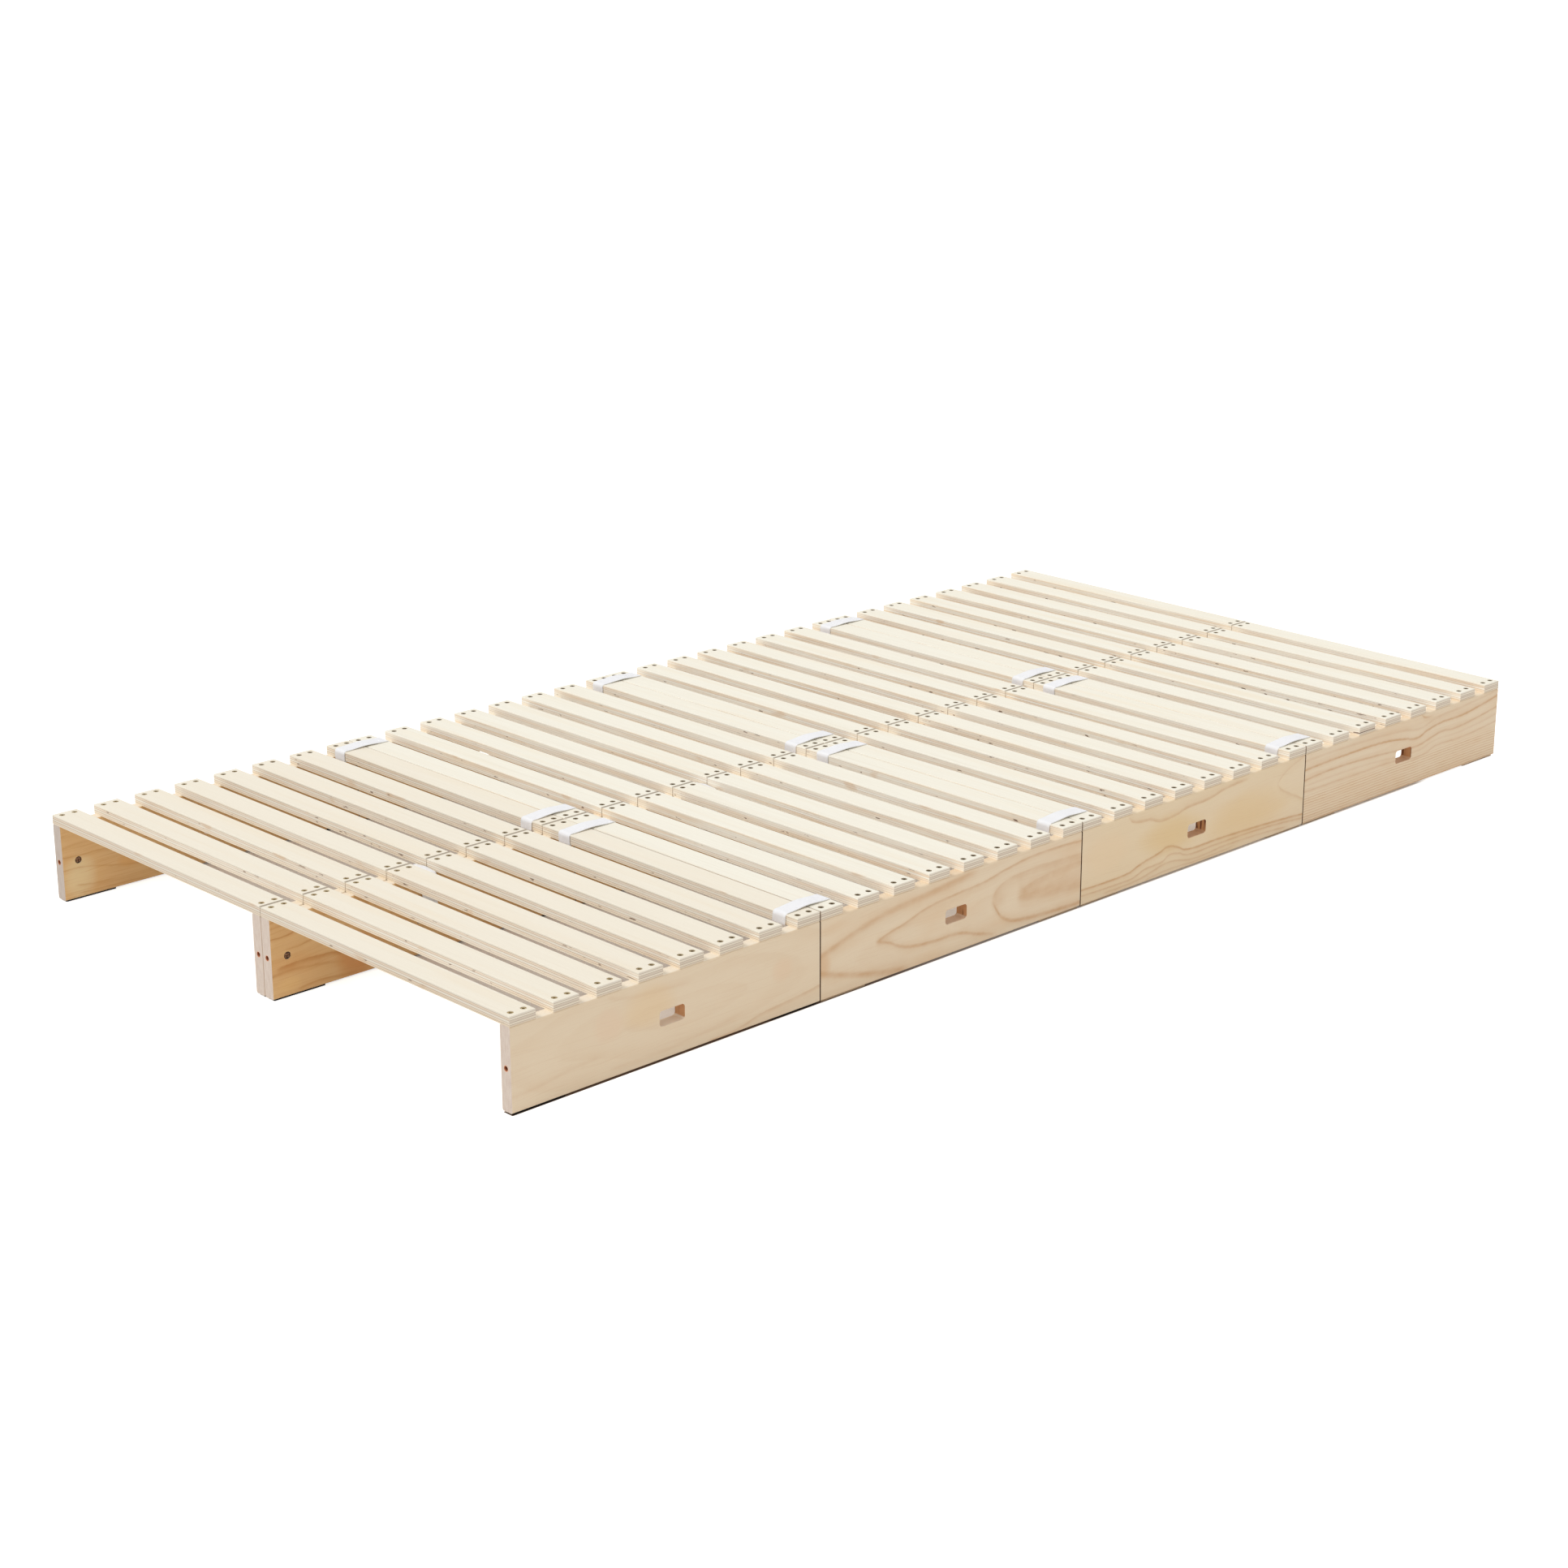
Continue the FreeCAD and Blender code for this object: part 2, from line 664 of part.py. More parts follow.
def main():
    """Build the bed and write each sub-part to its own file."""
    doc = FreeCAD.newDocument("PalletBed")
    s = derive(make_sheet(doc))
    pallet_parts = make_pallet_parts(doc, s)
    sub_parts = []
    for row in range(1, ROW_COUNT + 1):
        for column in COLUMNS:
            sub_parts.extend(place_pallet(doc, s, pallet_parts, row, column))
    for row, columns in enumerate(STRAP_SLIDE_SHARES, start=1):
        for column, slide_shares in zip(COLUMNS, columns):
            name = f"strap_loops_rows_{row}_{row + 1}_{column}"
            sub_parts.append(make_strap_loops(doc, name, s, column, row, slide_shares))
    for row in CENTRE_STRAP_ROWS:
        sub_parts.append(make_centre_strap(doc, f"centre_strap_row_{row}", s, row))
    doc.recompute()
    check(doc, sub_parts)

    os.makedirs(PARTS_FOLDER, exist_ok=True)
    for item in sub_parts:
        item.Shape.exportStep(os.path.join(PARTS_FOLDER, f"{item.Label}.step"))
        print(f"{item.Label}: {len(item.Shape.Solids)} solids, {item.Shape.Volume:.0f} mm3")


main()
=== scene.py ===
"""Looks of the pallet bed: plywood slats on pine rails, tied row to row with white webbing."""
import logging
import math
from dataclasses import dataclass, field
from enum import Enum

import bpy
import numpy as np
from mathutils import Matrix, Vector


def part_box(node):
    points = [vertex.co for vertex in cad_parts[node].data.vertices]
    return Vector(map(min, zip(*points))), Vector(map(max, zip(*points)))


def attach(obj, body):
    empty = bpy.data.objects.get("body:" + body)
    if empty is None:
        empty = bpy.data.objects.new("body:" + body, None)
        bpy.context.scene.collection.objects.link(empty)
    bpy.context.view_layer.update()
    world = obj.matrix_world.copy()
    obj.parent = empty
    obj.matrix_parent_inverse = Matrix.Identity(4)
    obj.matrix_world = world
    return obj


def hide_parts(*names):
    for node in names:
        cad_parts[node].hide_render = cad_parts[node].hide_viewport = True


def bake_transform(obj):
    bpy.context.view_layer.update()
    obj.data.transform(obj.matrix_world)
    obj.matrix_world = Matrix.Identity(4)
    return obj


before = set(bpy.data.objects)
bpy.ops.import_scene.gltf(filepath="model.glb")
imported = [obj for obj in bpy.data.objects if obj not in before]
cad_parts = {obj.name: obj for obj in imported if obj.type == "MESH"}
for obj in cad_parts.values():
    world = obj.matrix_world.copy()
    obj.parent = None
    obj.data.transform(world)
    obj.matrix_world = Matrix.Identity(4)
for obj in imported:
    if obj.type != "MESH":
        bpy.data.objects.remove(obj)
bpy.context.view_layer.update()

MM = 0.001
ROWS = (1, 2, 3, 4)
SLATS_PER_PALLET = 8
LOG = logging.getLogger("pallet_bed")

Colour = tuple[float, float, float, float]
Stops = tuple[tuple[float, Colour], ...]
Point = tuple[float, float, float]
Socket = bpy.types.NodeSocket
Paint = Socket | Colour


def tone(red: float, green: float, blue: float) -> Colour:
    """Turn a paint-chart colour into the linear one that shaders take.

    Args:
        red: Red from 0 to 255, as on a screen.
        green: Green from 0 to 255.
        blue: Blue from 0 to 255.

    Returns:
        The linear colour with full opacity.
    """
    chart = np.array((red, green, blue), float) / 255.0
    low, high = chart / 12.92, ((chart + 0.055) / 1.055) ** 2.4
    linear = np.where(chart <= 0.04045, low, high)
    return (float(linear[0]), float(linear[1]), float(linear[2]), 1.0)


def stops(*rows: tuple[float, float, float, float]) -> Stops:
    """Make a colour ramp's stops from rows of a place and the three chart colours there."""
    return tuple((place, tone(*chart)) for place, *chart in rows)


class Side(Enum):
    """The two columns of pallets."""

    LEFT = "left"
    RIGHT = "right"


class Place(Enum):
    """Where a rail stands in its pallet: at the bed's outside, or at its middle seam."""

    OUTER = "outer"
    INNER = "inner"


class Number:
    """A number that varies over a surface. Its arithmetic adds Math nodes to the tree."""

    def __init__(self, graph: "Graph", socket: Socket) -> None:
        """Keep the tree and the socket that gives the number."""
        self.graph = graph
        self.socket = socket

    def __add__(self, other: "Number | float") -> "Number":
        """Add a number."""
        return self.graph.calc("ADD", self, other)

    def __sub__(self, other: "Number | float") -> "Number":
        """Take a number away."""
        return self.graph.calc("SUBTRACT", self, other)

    def __rsub__(self, other: float) -> "Number":
        """Take this number away from a plain one."""
        return self.graph.calc("SUBTRACT", other, self)

    def __mul__(self, other: "Number | float") -> "Number":
        """Multiply by a number."""
        return self.graph.calc("MULTIPLY", self, other)

    def __truediv__(self, other: "Number | float") -> "Number":
        """Divide by a number."""
        return self.graph.calc("DIVIDE", self, other)

    def floor(self) -> "Number":
        """Round down."""
        return self.graph.calc("FLOOR", self)

    def part(self) -> "Number":
        """Keep what lies past the whole number."""
        return self.graph.calc("FRACT", self)

    def size(self) -> "Number":
        """Drop the sign."""
        return self.graph.calc("ABSOLUTE", self)

    def above(self, low: float, high: float) -> "Number":
        """Rise smoothly from 0 to 1.

        Args:
            low: Where it begins to rise.
            high: Where it reaches 1.

        Returns:
            The risen number.
        """
        feeds = {"Value": self, "From Min": low, "From Max": high}
        made = self.graph.node("ShaderNodeMapRange", feeds, interpolation_type="SMOOTHSTEP")
        return Number(self.graph, made.outputs["Result"])


Value = Number | float


class Graph:
    """The node tree of a material or of the world, built with short calls."""

    def __init__(self, name: str, kind: str = "Material") -> None:
        """Start a new Material, or World, with nothing in its tree but the output.

        Args:
            name: Its name.
            kind: Material or World.
        """
        store = bpy.data.worlds if kind == "World" else bpy.data.materials
        self.owner = store.new(name)
        self.owner.use_nodes = True
        self.tree = self.owner.node_tree
        self.tree.nodes.clear()
        self.output = self.node(f"ShaderNodeOutput{kind}")

    def node(self, kind: str, feeds: dict | None = None, **settings: object) -> bpy.types.Node:
        """Add a node.

        Args:
            kind: Its type.
            feeds: What goes into its sockets, by their names or places.
            **settings: Its settings, by name, which are set first.

        Returns:
            The node.
        """
        made = self.tree.nodes.new(kind)
        for key, value in settings.items():
            setattr(made, key, value)
        for key, value in (feeds or {}).items():
            self.feed(made.inputs[key], value)
        return made

    def feed(self, socket: Socket, value: object) -> None:
        """Link a number or socket into a socket, or write a plain value there.

        Args:
            socket: The socket that takes it.
            value: A number, a socket or a plain value.
        """
        if isinstance(value, Number):
            value = value.socket
        if isinstance(value, Socket):
            self.tree.links.new(value, socket)
        else:
            socket.default_value = value

    def calc(self, operation: str, *values: Value) -> Number:
        """Add a Math node on the given values."""
        made = self.node("ShaderNodeMath", dict(enumerate(values)), operation=operation)
        return Number(self, made.outputs[0])

    def axes(self, source: str) -> tuple[Number, Number, Number]:
        """Split a texture coordinate into its three numbers.

        Args:
            source: Its name, such as Object or Normal.

        Returns:
            The three numbers.
        """
        coords = self.node("ShaderNodeTexCoord")
        split = self.node("ShaderNodeSeparateXYZ", {0: coords.outputs[source]})
        return tuple(Number(self, socket) for socket in split.outputs)

    def point(self, x: Value, y: Value, z: Value) -> Socket:
        """Join three numbers into a vector."""
        return self.node("ShaderNodeCombineXYZ", {0: x, 1: y, 2: z}).outputs[0]

    def noise(self, x: Value, y: Value, z: Value, detail: float = 2.0,
              roughness: float = 0.5, distortion: float = 0.0) -> Number:
        """Add a noise from 0 to 1 whose blotches are one unit across in each number."""
        feeds = {"Vector": self.point(x, y, z), "Scale": 1.0, "Detail": detail,
                 "Roughness": roughness, "Distortion": distortion}
        return Number(self, self.node("ShaderNodeTexNoise", feeds).outputs[0])

    def dice(self, x: Value, y: Value, z: Value) -> Number:
        """Give each whole-number point its own number from 0 to 1."""
        made = self.node("ShaderNodeTexWhiteNoise", {"Vector": self.point(x, y, z)})
        return Number(self, made.outputs["Value"])

    def ramp(self, value: Number, places: Stops) -> Socket:
        """Turn a number into a colour.

        Args:
            value: The number.
            places: The places from 0 to 1 and the colours there.

        Returns:
            The colour.
        """
        made = self.node("ShaderNodeValToRGB", {0: value})
        band = made.color_ramp
        while len(band.elements) < len(places):
            band.elements.new(1.0)
        for element, (place, colour) in zip(band.elements, places):
            element.position = place
            element.color = colour
        return made.outputs[0]

    def curve(self, value: Number, points: tuple[tuple[float, float], ...]) -> Number:
        """Follow a smooth curve.

        Args:
            value: The number to look up.
            points: The (value, result) points that the curve goes through.

        Returns:
            The curve's result, which stays level past its ends.
        """
        made = self.node("ShaderNodeFloatCurve", {"Value": value})
        line = made.mapping.curves[0]
        made.mapping.extend = "HORIZONTAL"
        for _ in points[2:]:
            line.points.new(0.5, 0.5)
        for point, place in zip(line.points, points):
            point.location = place
        made.mapping.update()
        return Number(self, made.outputs[0])

    def mix(self, share: Value, first: Paint, second: Paint, how: str = "MIX") -> Socket:
        """Mix two colours, or tint the first by the second, by a share from 0 to 1."""
        feeds = {"Factor": share, 6: first, 7: second}
        return self.node("ShaderNodeMix", feeds, data_type="RGBA", blend_type=how).outputs[2]

    def tint(self, share: Value, first: Paint, second: Paint) -> Socket:
        """Multiply a colour by a second one, by a share from 0 to 1."""
        return self.mix(share, first, second, "MULTIPLY")

    def bump(self, height: Number, depth: float) -> Socket:
        """Turn a height from 0 to 1 into a surface slope, depth metres deep."""
        feeds = {"Strength": 1.0, "Distance": depth, "Height": height}
        return self.node("ShaderNodeBump", feeds).outputs[0]

    def seen(self) -> Number:
        """Tell what the camera sees, straight or in gloss or glass, from what only lights.

        Returns:
            1 for what it sees, else 0.
        """
        path = self.node("ShaderNodeLightPath")
        camera, gloss, glass = (Number(self, path.outputs[f"Is {ray} Ray"])
                                for ray in ("Camera", "Glossy", "Transmission"))
        return self.calc("MAXIMUM", self.calc("MAXIMUM", camera, gloss), glass)

    def close(self, shader: bpy.types.Node) -> None:
        """Link the last shader to the output."""
        self.feed(self.output.inputs[0], shader.outputs[0])

    def finish(self, colour: Paint, roughness: Value, normal: Socket,
               **sockets: float) -> bpy.types.Material:
        """Set the surface's shader and close the tree.

        Args:
            colour: Base colour.
            roughness: Roughness.
            normal: Slope of the surface.
            **sockets: Plain values of the shader's other sockets, with _ for a space.

        Returns:
            The finished material.
        """
        feeds = {"Base Color": colour, "Roughness": roughness, "Normal": normal}
        feeds |= {key.replace("_", " "): value for key, value in sockets.items()}
        self.close(self.node("ShaderNodeBsdfPrincipled", feeds))
        return self.owner


@dataclass(frozen=True)
class SlatSpot:
    """Where the shader is on a slat, and the slat's own chances.

    The height is a share of the slat's thickness, and later is 0 in the near row and 1 in
    the others.
    """

    g: Graph
    x: Number
    y: Number
    z: Number
    height: Number
    later: Number
    shift: Number
    luck: Number
    other: Number


@dataclass(frozen=True)
class Plywood:
    """Pale plywood of five veneers, with faint long grain on its faces."""

    face: Colour = tone(248, 243, 228)
    streak: Colour = tone(222, 212, 190)
    blush: Colour = tone(244, 228, 200)
    near_top: Colour = tone(238, 224, 202)
    void: Colour = tone(104, 66, 46)
    # Colour of the painted shade on the near row's first slat front.
    front_shade: Colour = tone(234, 230, 226)
    grey: Colour = tone(204, 186, 164)
    # Colour of the painted shade in the gaps where rows meet.
    joint: Colour = tone(122, 90, 62)
    plain: Colour = tone(255, 249, 234)
    amber: Colour = tone(240, 208, 168)
    near_side: Colour = tone(246, 246, 248)
    # Colour of the painted shade along the columns' seam.
    seam: Colour = tone(118, 96, 70)
    resin: Colour = tone(214, 168, 112)
    bed_side: float = 493.5 * MM
    corner_shade_strip: float = 2.6 * MM
    corner_shade_fade: float = 0.6 * MM
    seam_shade_strip: float = 1.8 * MM
    seam_shade_fade: float = 1.0 * MM
    sides: Stops = stops(
        (0.00, 248, 234, 210), (0.03, 255, 247, 230), (0.14, 255, 247, 230),
        (0.165, 196, 170, 142), (0.195, 255, 246, 230), (0.35, 255, 246, 230),
        (0.38, 198, 176, 150), (0.41, 255, 251, 240), (0.59, 255, 251, 240),
        (0.62, 202, 180, 156), (0.65, 254, 245, 230), (0.79, 254, 246, 232),
        (0.82, 212, 192, 168), (0.85, 255, 252, 240), (1.00, 254, 251, 240),
    )
    ends: Stops = stops(
        (0.00, 210, 184, 152), (0.04, 232, 214, 190), (0.14, 232, 216, 192),
        (0.165, 172, 146, 122), (0.20, 240, 226, 204), (0.35, 242, 230, 208),
        (0.375, 168, 144, 122), (0.41, 224, 208, 188), (0.59, 228, 214, 194),
        (0.615, 172, 148, 124), (0.65, 244, 232, 212), (0.79, 244, 234, 214),
        (0.815, 178, 156, 134), (0.85, 236, 224, 206), (1.00, 244, 236, 220),
    )

    def material(self, low: Point, thick: float, row_pitch: float, slat_pitch: float,
                 gap: float) -> bpy.types.Material:
        """Make the material of all slats.

        Each slat draws its own grain from its number, which is counted along the bed: whole
        rows first, then slats within the row. The height within the slat picks the veneer.

        Args:
            low: Lowest corner of the first slat.
            thick: Thickness of a slat.
            row_pitch: Distance from one row's first slat to the next row's.
            slat_pitch: Distance from one slat to the next.
            gap: Open width between two slats.

        Returns:
            The material.
        """
        g = Graph("plywood")
        x, y, z = g.axes("Object")
        across, along, up = g.axes("Normal")
        past = y - (low[1] - gap / 2)
        row = (past / row_pitch).floor()
        slat = ((past - row * row_pitch) / slat_pitch).floor()
        column = g.calc("GREATER_THAN", x, 0.0)
        number = row * SLATS_PER_PALLET + slat + column * (SLATS_PER_PALLET * (len(ROWS) + 1))
        luck, other = g.dice(number, 3.0, 0.0), g.dice(number, 7.0, 1.0)
        shift = luck * 90.0
        wave = g.noise(x * 18.0, y * 18.0, shift) - 0.5
        height = (z - low[2]) / thick + wave * 0.05
        spot = SlatSpot(g, x, y, z, height, row.above(0.2, 0.8), shift, luck, other)

        fibre = g.noise(x * 9.0, y * 420.0, shift, detail=4.0, roughness=0.6)
        figure = g.noise(x * 2.2, y * 46.0, shift + 20.0, distortion=0.4)
        holes = self.holes(spot)
        edge = self.edge_colour(spot, across.size().above(0.5, 0.8))
        edge = g.mix(holes * 0.85, edge, self.void)
        shown = (1.0 - slat.above(0.2, 0.8)) * (along * -1.0).above(0.5, 0.8)
        # Painted shade: the near row's first slat is darker on its front side.
        edge = g.tint(shown * (1.0 - spot.later), edge, self.front_shade)
        # Painted shade in the gaps where rows meet: the later rows' first slats darken on their
        # front side at the bed's outer edge, and the second row's also along its top rim on the
        # right.
        side = self.bed_side - self.corner_shade_strip
        corner = x.size().above(side, side + self.corner_shade_fade)
        rim = height.above(0.78, 0.88) * x.above(0.04, 0.08) * (1.0 - row.above(1.2, 1.8))
        rim = g.calc("MAXIMUM", rim * 0.4, corner * 0.8)
        edge = g.mix(shown * spot.later * rim, edge, self.joint)

        top = self.top_colour(spot, fibre, figure)
        colour = g.mix(up.size().above(0.55, 0.85), edge, top)
        grain = fibre * 0.7 + figure * 0.3 - holes * 3.0
        return g.finish(colour, 0.62, g.bump(grain, 0.10 * MM), Specular_IOR_Level=0.25)

    def top_colour(self, spot: SlatSpot, fibre: Number, figure: Number) -> Socket:
        """Colour the wide faces: long streaks, a warmer near row and painted shade along the
        columns' seam.

        Args:
            spot: Where the shader is.
            fibre: Fine noise along the slat.
            figure: Broad noise along the slat.

        Returns:
            The colour.
        """
        g = spot.g
        lines = g.noise(spot.x * 3.0, spot.y * 260.0, spot.shift + 40.0).above(0.60, 0.78)
        top = g.mix((fibre - 0.35) * 0.55, self.face, self.streak)
        top = g.mix(figure.above(0.45, 0.85) * (spot.luck * 0.5 + 0.15), top, self.blush)
        top = g.tint(lines * 0.20, top, self.streak)
        top = g.mix((1.0 - spot.later) * 0.38, top, self.near_top)
        # Painted shade: a dark line along the seam between the columns.
        seam = 1.0 - spot.x.size().above(self.seam_shade_strip, self.seam_shade_strip + self.seam_shade_fade)
        return g.mix(seam * 0.7, top, self.seam)

    def edge_colour(self, spot: SlatSpot, sawn: Number) -> Socket:
        """Colour the veneers: fine lines that come and go on the sides, darker at the ends.

        Args:
            spot: Where the shader is.
            sawn: 1 on a slat's end, 0 on its side.

        Returns:
            The colour.
        """
        g, x, y, z = spot.g, spot.x, spot.y, spot.z
        near = 1.0 - spot.later
        layers = g.ramp(spot.height, self.sides)
        layers = g.tint(near * 0.55, layers, layers)
        breaks = g.noise(x * 6.0, z * 150.0, spot.shift + 5.0).above(0.40, 0.62)
        side = g.mix(breaks * (spot.later * 0.3 + 0.35), layers, self.plain)
        side = g.tint(near, side, self.near_side)
        veneer = (spot.height * 5.0).floor()
        warmth = g.noise(x * 3.5, veneer * 9.0, spot.shift + 75.0).above(0.44, 0.64)
        side = g.tint(warmth * (spot.later * 0.24 + 0.12), side, self.amber)
        edge = g.mix(sawn, side, g.ramp(spot.height, self.ends))
        speck = g.noise(x * 900.0, y * 900.0, z * 900.0, detail=1.0)
        edge = g.tint(speck.above(0.45, 0.8) * 0.06, edge, self.resin)
        broad = g.noise(x * 7.0, z * 330.0, spot.shift + 60.0, detail=3.0)
        edge = g.tint(broad.above(0.46, 0.74) * 0.14, edge, self.grey)
        knots = g.noise(x * 16.0, spot.shift + 31.0, z * 45.0, detail=1.0).above(0.70, 0.78)
        return g.mix(knots * 0.35, edge, self.resin)

    def holes(self, spot: SlatSpot) -> Number:
        """Find the small voids of the second veneer, and of some slats' fourth.

        Args:
            spot: Where the shader is.

        Returns:
            1 in a void, else 0.
        """
        g, x, z, height = spot.g, spot.x, spot.z * 240.0, spot.height
        second = height.above(0.17, 0.20) * (1.0 - height.above(0.36, 0.38))
        fourth = height.above(0.64, 0.66) * (1.0 - height.above(0.81, 0.84))
        low = g.noise(x * 46.0, spot.shift, z).above(0.663, 0.70)
        high = g.noise(x * 52.0, spot.shift + 11.0, z).above(0.673, 0.71)
        return second * low + fourth * high * spot.other


@dataclass(frozen=True)
class Stroke:
    """One growth line that a rail's face shows, in shares of its length and height.

    It is darkest on its route and fades over a share of the height above and below it.
    """

    strength: float
    above: float
    below: float
    route: tuple[tuple[float, float], ...]


def growth_lines(*rows: tuple) -> tuple[Stroke, ...]:
    """Make growth lines from numbers in percent.

    Args:
        *rows: For each line its (strength, reach above, reach below), and then its route: a
            place along the face and its height, in turn.

    Returns:
        The growth lines.
    """
    made = []
    for look, *route in rows:
        shares = [number / 100.0 for number in route]
        pairs = tuple(zip(shares[::2], shares[1::2]))
        made.append(Stroke(*(number / 100.0 for number in look), pairs))
    return tuple(made)


@dataclass(frozen=True)
class Patch:
    """A soft oval patch on a rail's face, in shares of its length and height. Most are stains in
    the wood; one, on the near left rail's inner face, is painted light.
    """

    centre: tuple[float, float]
    reach: tuple[float, float]
    colour: Colour
    strength: float = 0.5


@dataclass(frozen=True)
class Grain:
    """How the growth rings of one rail run, in shares of its length and height.

    The rings are shells round a heart that lies in or near the board. Where a shell meets
    the board's face it draws one line, so a near heart gives ovals and arches, and a far one
    gives long straight lines.
    """

    heart: tuple[float, float] = (0.5, -0.6)
    reach: tuple[float, float] = (1.4, 0.9)
    rings: float = 7.0
    wobble: float = 0.6
    strength: float = 0.35
    seed: float = 0.0
    blush: float = 0.3
    strokes: tuple[Stroke, ...] = ()
    patches: tuple[Patch, ...] = ()
    fine_below: float = 0.0
    chatter: float = 0.3
    end_shade: float = 0.0
    # Share of painted light that makes the rail's up-facing top paler.
    top_light_share: float = 0.7
    inside_only: bool = False


@dataclass
class RailSpot:
    """Where the shader is on a rail, and how its grain runs there.

    s, t and d are shares of the rail's length, height and thickness, into is 1 on the face
    towards the pallet's inside, and fibre and sway are fine and broad noise along the grain.
    """

    g: Graph
    s: Number
    t: Number
    d: Number
    into: Number
    fibre: Number
    sway: Number
    grain: Grain
    seed: float


@dataclass(frozen=True)
class Pine:
    """Planed pine board: cathedral grain on its faces, grey end grain, inner faces warmed by
    painted shade.
    """

    early: Colour = tone(238, 217, 187)
    late: Colour = tone(206, 158, 108)
    pink: Colour = tone(230, 194, 152)
    cream: Colour = tone(242, 224, 194)
    # Colour of the painted light on each rail's up-facing top.
    top: Colour = tone(249, 239, 221)
    end: Colour = tone(217, 202, 188)
    end_line: Colour = tone(199, 177, 161)
    # Colour of the painted warm shade on the faces towards the pallet's inside.
    inside: Colour = tone(252, 223, 176)
    bored: Colour = tone(214, 160, 112)
    # Colour of the hand hole's up-facing sill, paler by painted light.
    sill: Colour = tone(255, 244, 222)
    torn: Colour = tone(222, 160, 122)
    mouth: Colour = tone(204, 126, 86)
    # Colour of the painted shade deep inside the bolt bores.
    deep: Colour = tone(56, 31, 19)
    scorch: Colour = tone(112, 62, 38)
    # Colour of the painted shade that dims some rails' ends.
    dull: Colour = tone(232, 233, 234)
    # Colour of the painted shade on ends where rows meet.
    joint: Colour = tone(98, 66, 44)
    lane_share: float = 0.037
    bolt_rise: float = 54.0 * MM
    bolt_radius: float = 3.25 * MM
    mouth_start: float = 0.5 * MM
    mouth_end: float = 5.0 * MM
    joint_shade_strip: float = 3.5 * MM
    joint_shade_fade: float = 1.0 * MM

    def material(self, name: str, low: Point, high: Point, grain: Grain, inner_way: float,
                 joints: tuple[bool, bool]) -> bpy.types.Material:
        """Make one rail's material.

        Args:
            name: Name of the material.
            low: Lowest corner of the rail.
            high: Highest corner of the rail.
            grain: How its growth rings run.
            inner_way: 1 where the pallet's inside lies towards +X, else -1.
            joints: Whether another row meets its near end, and its far end.

        Returns:
            The material.
        """
        g = Graph(name)
        x, y, z = g.axes("Object")
        across, along, up = g.axes("Normal")
        length, height, thick = high[1] - low[1], high[2] - low[2], high[0] - low[0]
        s, t, d = (y - low[1]) / length, (z - low[2]) / height, (x - low[0]) / thick
        seed = grain.seed * 13.7
        sway = g.noise(s * 2.6, t * 1.6 + seed, d * 0.2 + seed, roughness=0.45) - 0.5
        fibre = g.noise(s * 9.0, t * 70.0 + seed, d * 12.0, detail=4.0, roughness=0.65)
        into = (across * inner_way).above(0.5, 0.8)
        spot = RailSpot(g, s, t, d, into, fibre, sway, grain, seed)
        line = self.rings(spot)

        off_x, off_z = (d - 0.5) * thick, z - (low[2] + self.bolt_rise)
        from_bolt = g.calc("SQRT", off_x * off_x + off_z * off_z) / self.bolt_radius
        tip = g.calc("MINIMUM", s, 1.0 - s)
        dust = g.noise(x * 1400.0, z * 1400.0, seed, detail=1.0)
        end = g.tint(dust.above(0.4, 0.8) * 0.15, self.end_colour(spot), self.end_line)
        end = g.mix((1.0 - from_bolt.above(1.05, 1.40)) * 0.85, end, self.torn)
        # Painted shade: a rail's end is dimmed by its grain's end_shade, on the near left rail.
        end = g.tint(grain.end_shade, end, self.dull)
        # Painted shade: where another row meets an end, a strip of it by the outer face is
        # darkened.
        near_end, far_end = (1.0 if meets else 0.0 for meets in joints)
        shut = s.above(0.4, 0.6) * (far_end - near_end) + near_end
        start = self.joint_shade_strip + self.joint_shade_fade
        outer = (d - 0.5) * -inner_way
        strip = outer.above(0.5 - start / thick, 0.5 - self.joint_shade_strip / thick)
        end = g.mix(shut * strip, end, self.joint)

        # Painted shade: faces towards the pallet's inside are tinted warmer and darker.
        face = g.tint(into * 0.9, self.face_colour(spot, line), self.inside)
        # Painted light: each rail's up-facing top is paler, by a share that differs per rail.
        face = g.mix(up.above(0.6, 0.9) * t.above(0.9, 0.95) * grain.top_light_share, face, self.top)
        from_tip = tip.above(0.004, 0.006)
        colour = g.mix(along.size().above(0.6, 0.85) * (1.0 - from_tip), face, end)
        walls = from_tip * (1.0 - t.above(0.97, 0.98)) * t.above(0.02, 0.03)
        walls = walls * (1.0 - across.size().above(0.5, 0.9))
        colour = g.mix(walls, colour, self.hole_colour(spot, along.size(), up))
        # Painted shade: the bolt bore's walls darken from orange-brown at the mouth to dark brown
        # deep inside.
        bolt = (1.0 - from_bolt.above(1.04, 1.1)) * (1.0 - tip.above(0.12, 0.14))
        bolt = bolt * (1.0 - along.size().above(0.3, 0.6))
        depth = (tip * length).above(self.mouth_start, self.mouth_end)
        colour = g.mix(bolt, colour, g.mix(depth, self.mouth, self.deep))
        relief = fibre * 0.5 + line * 0.5
        return g.finish(colour, 0.58, g.bump(relief, 0.08 * MM), Specular_IOR_Level=0.3)

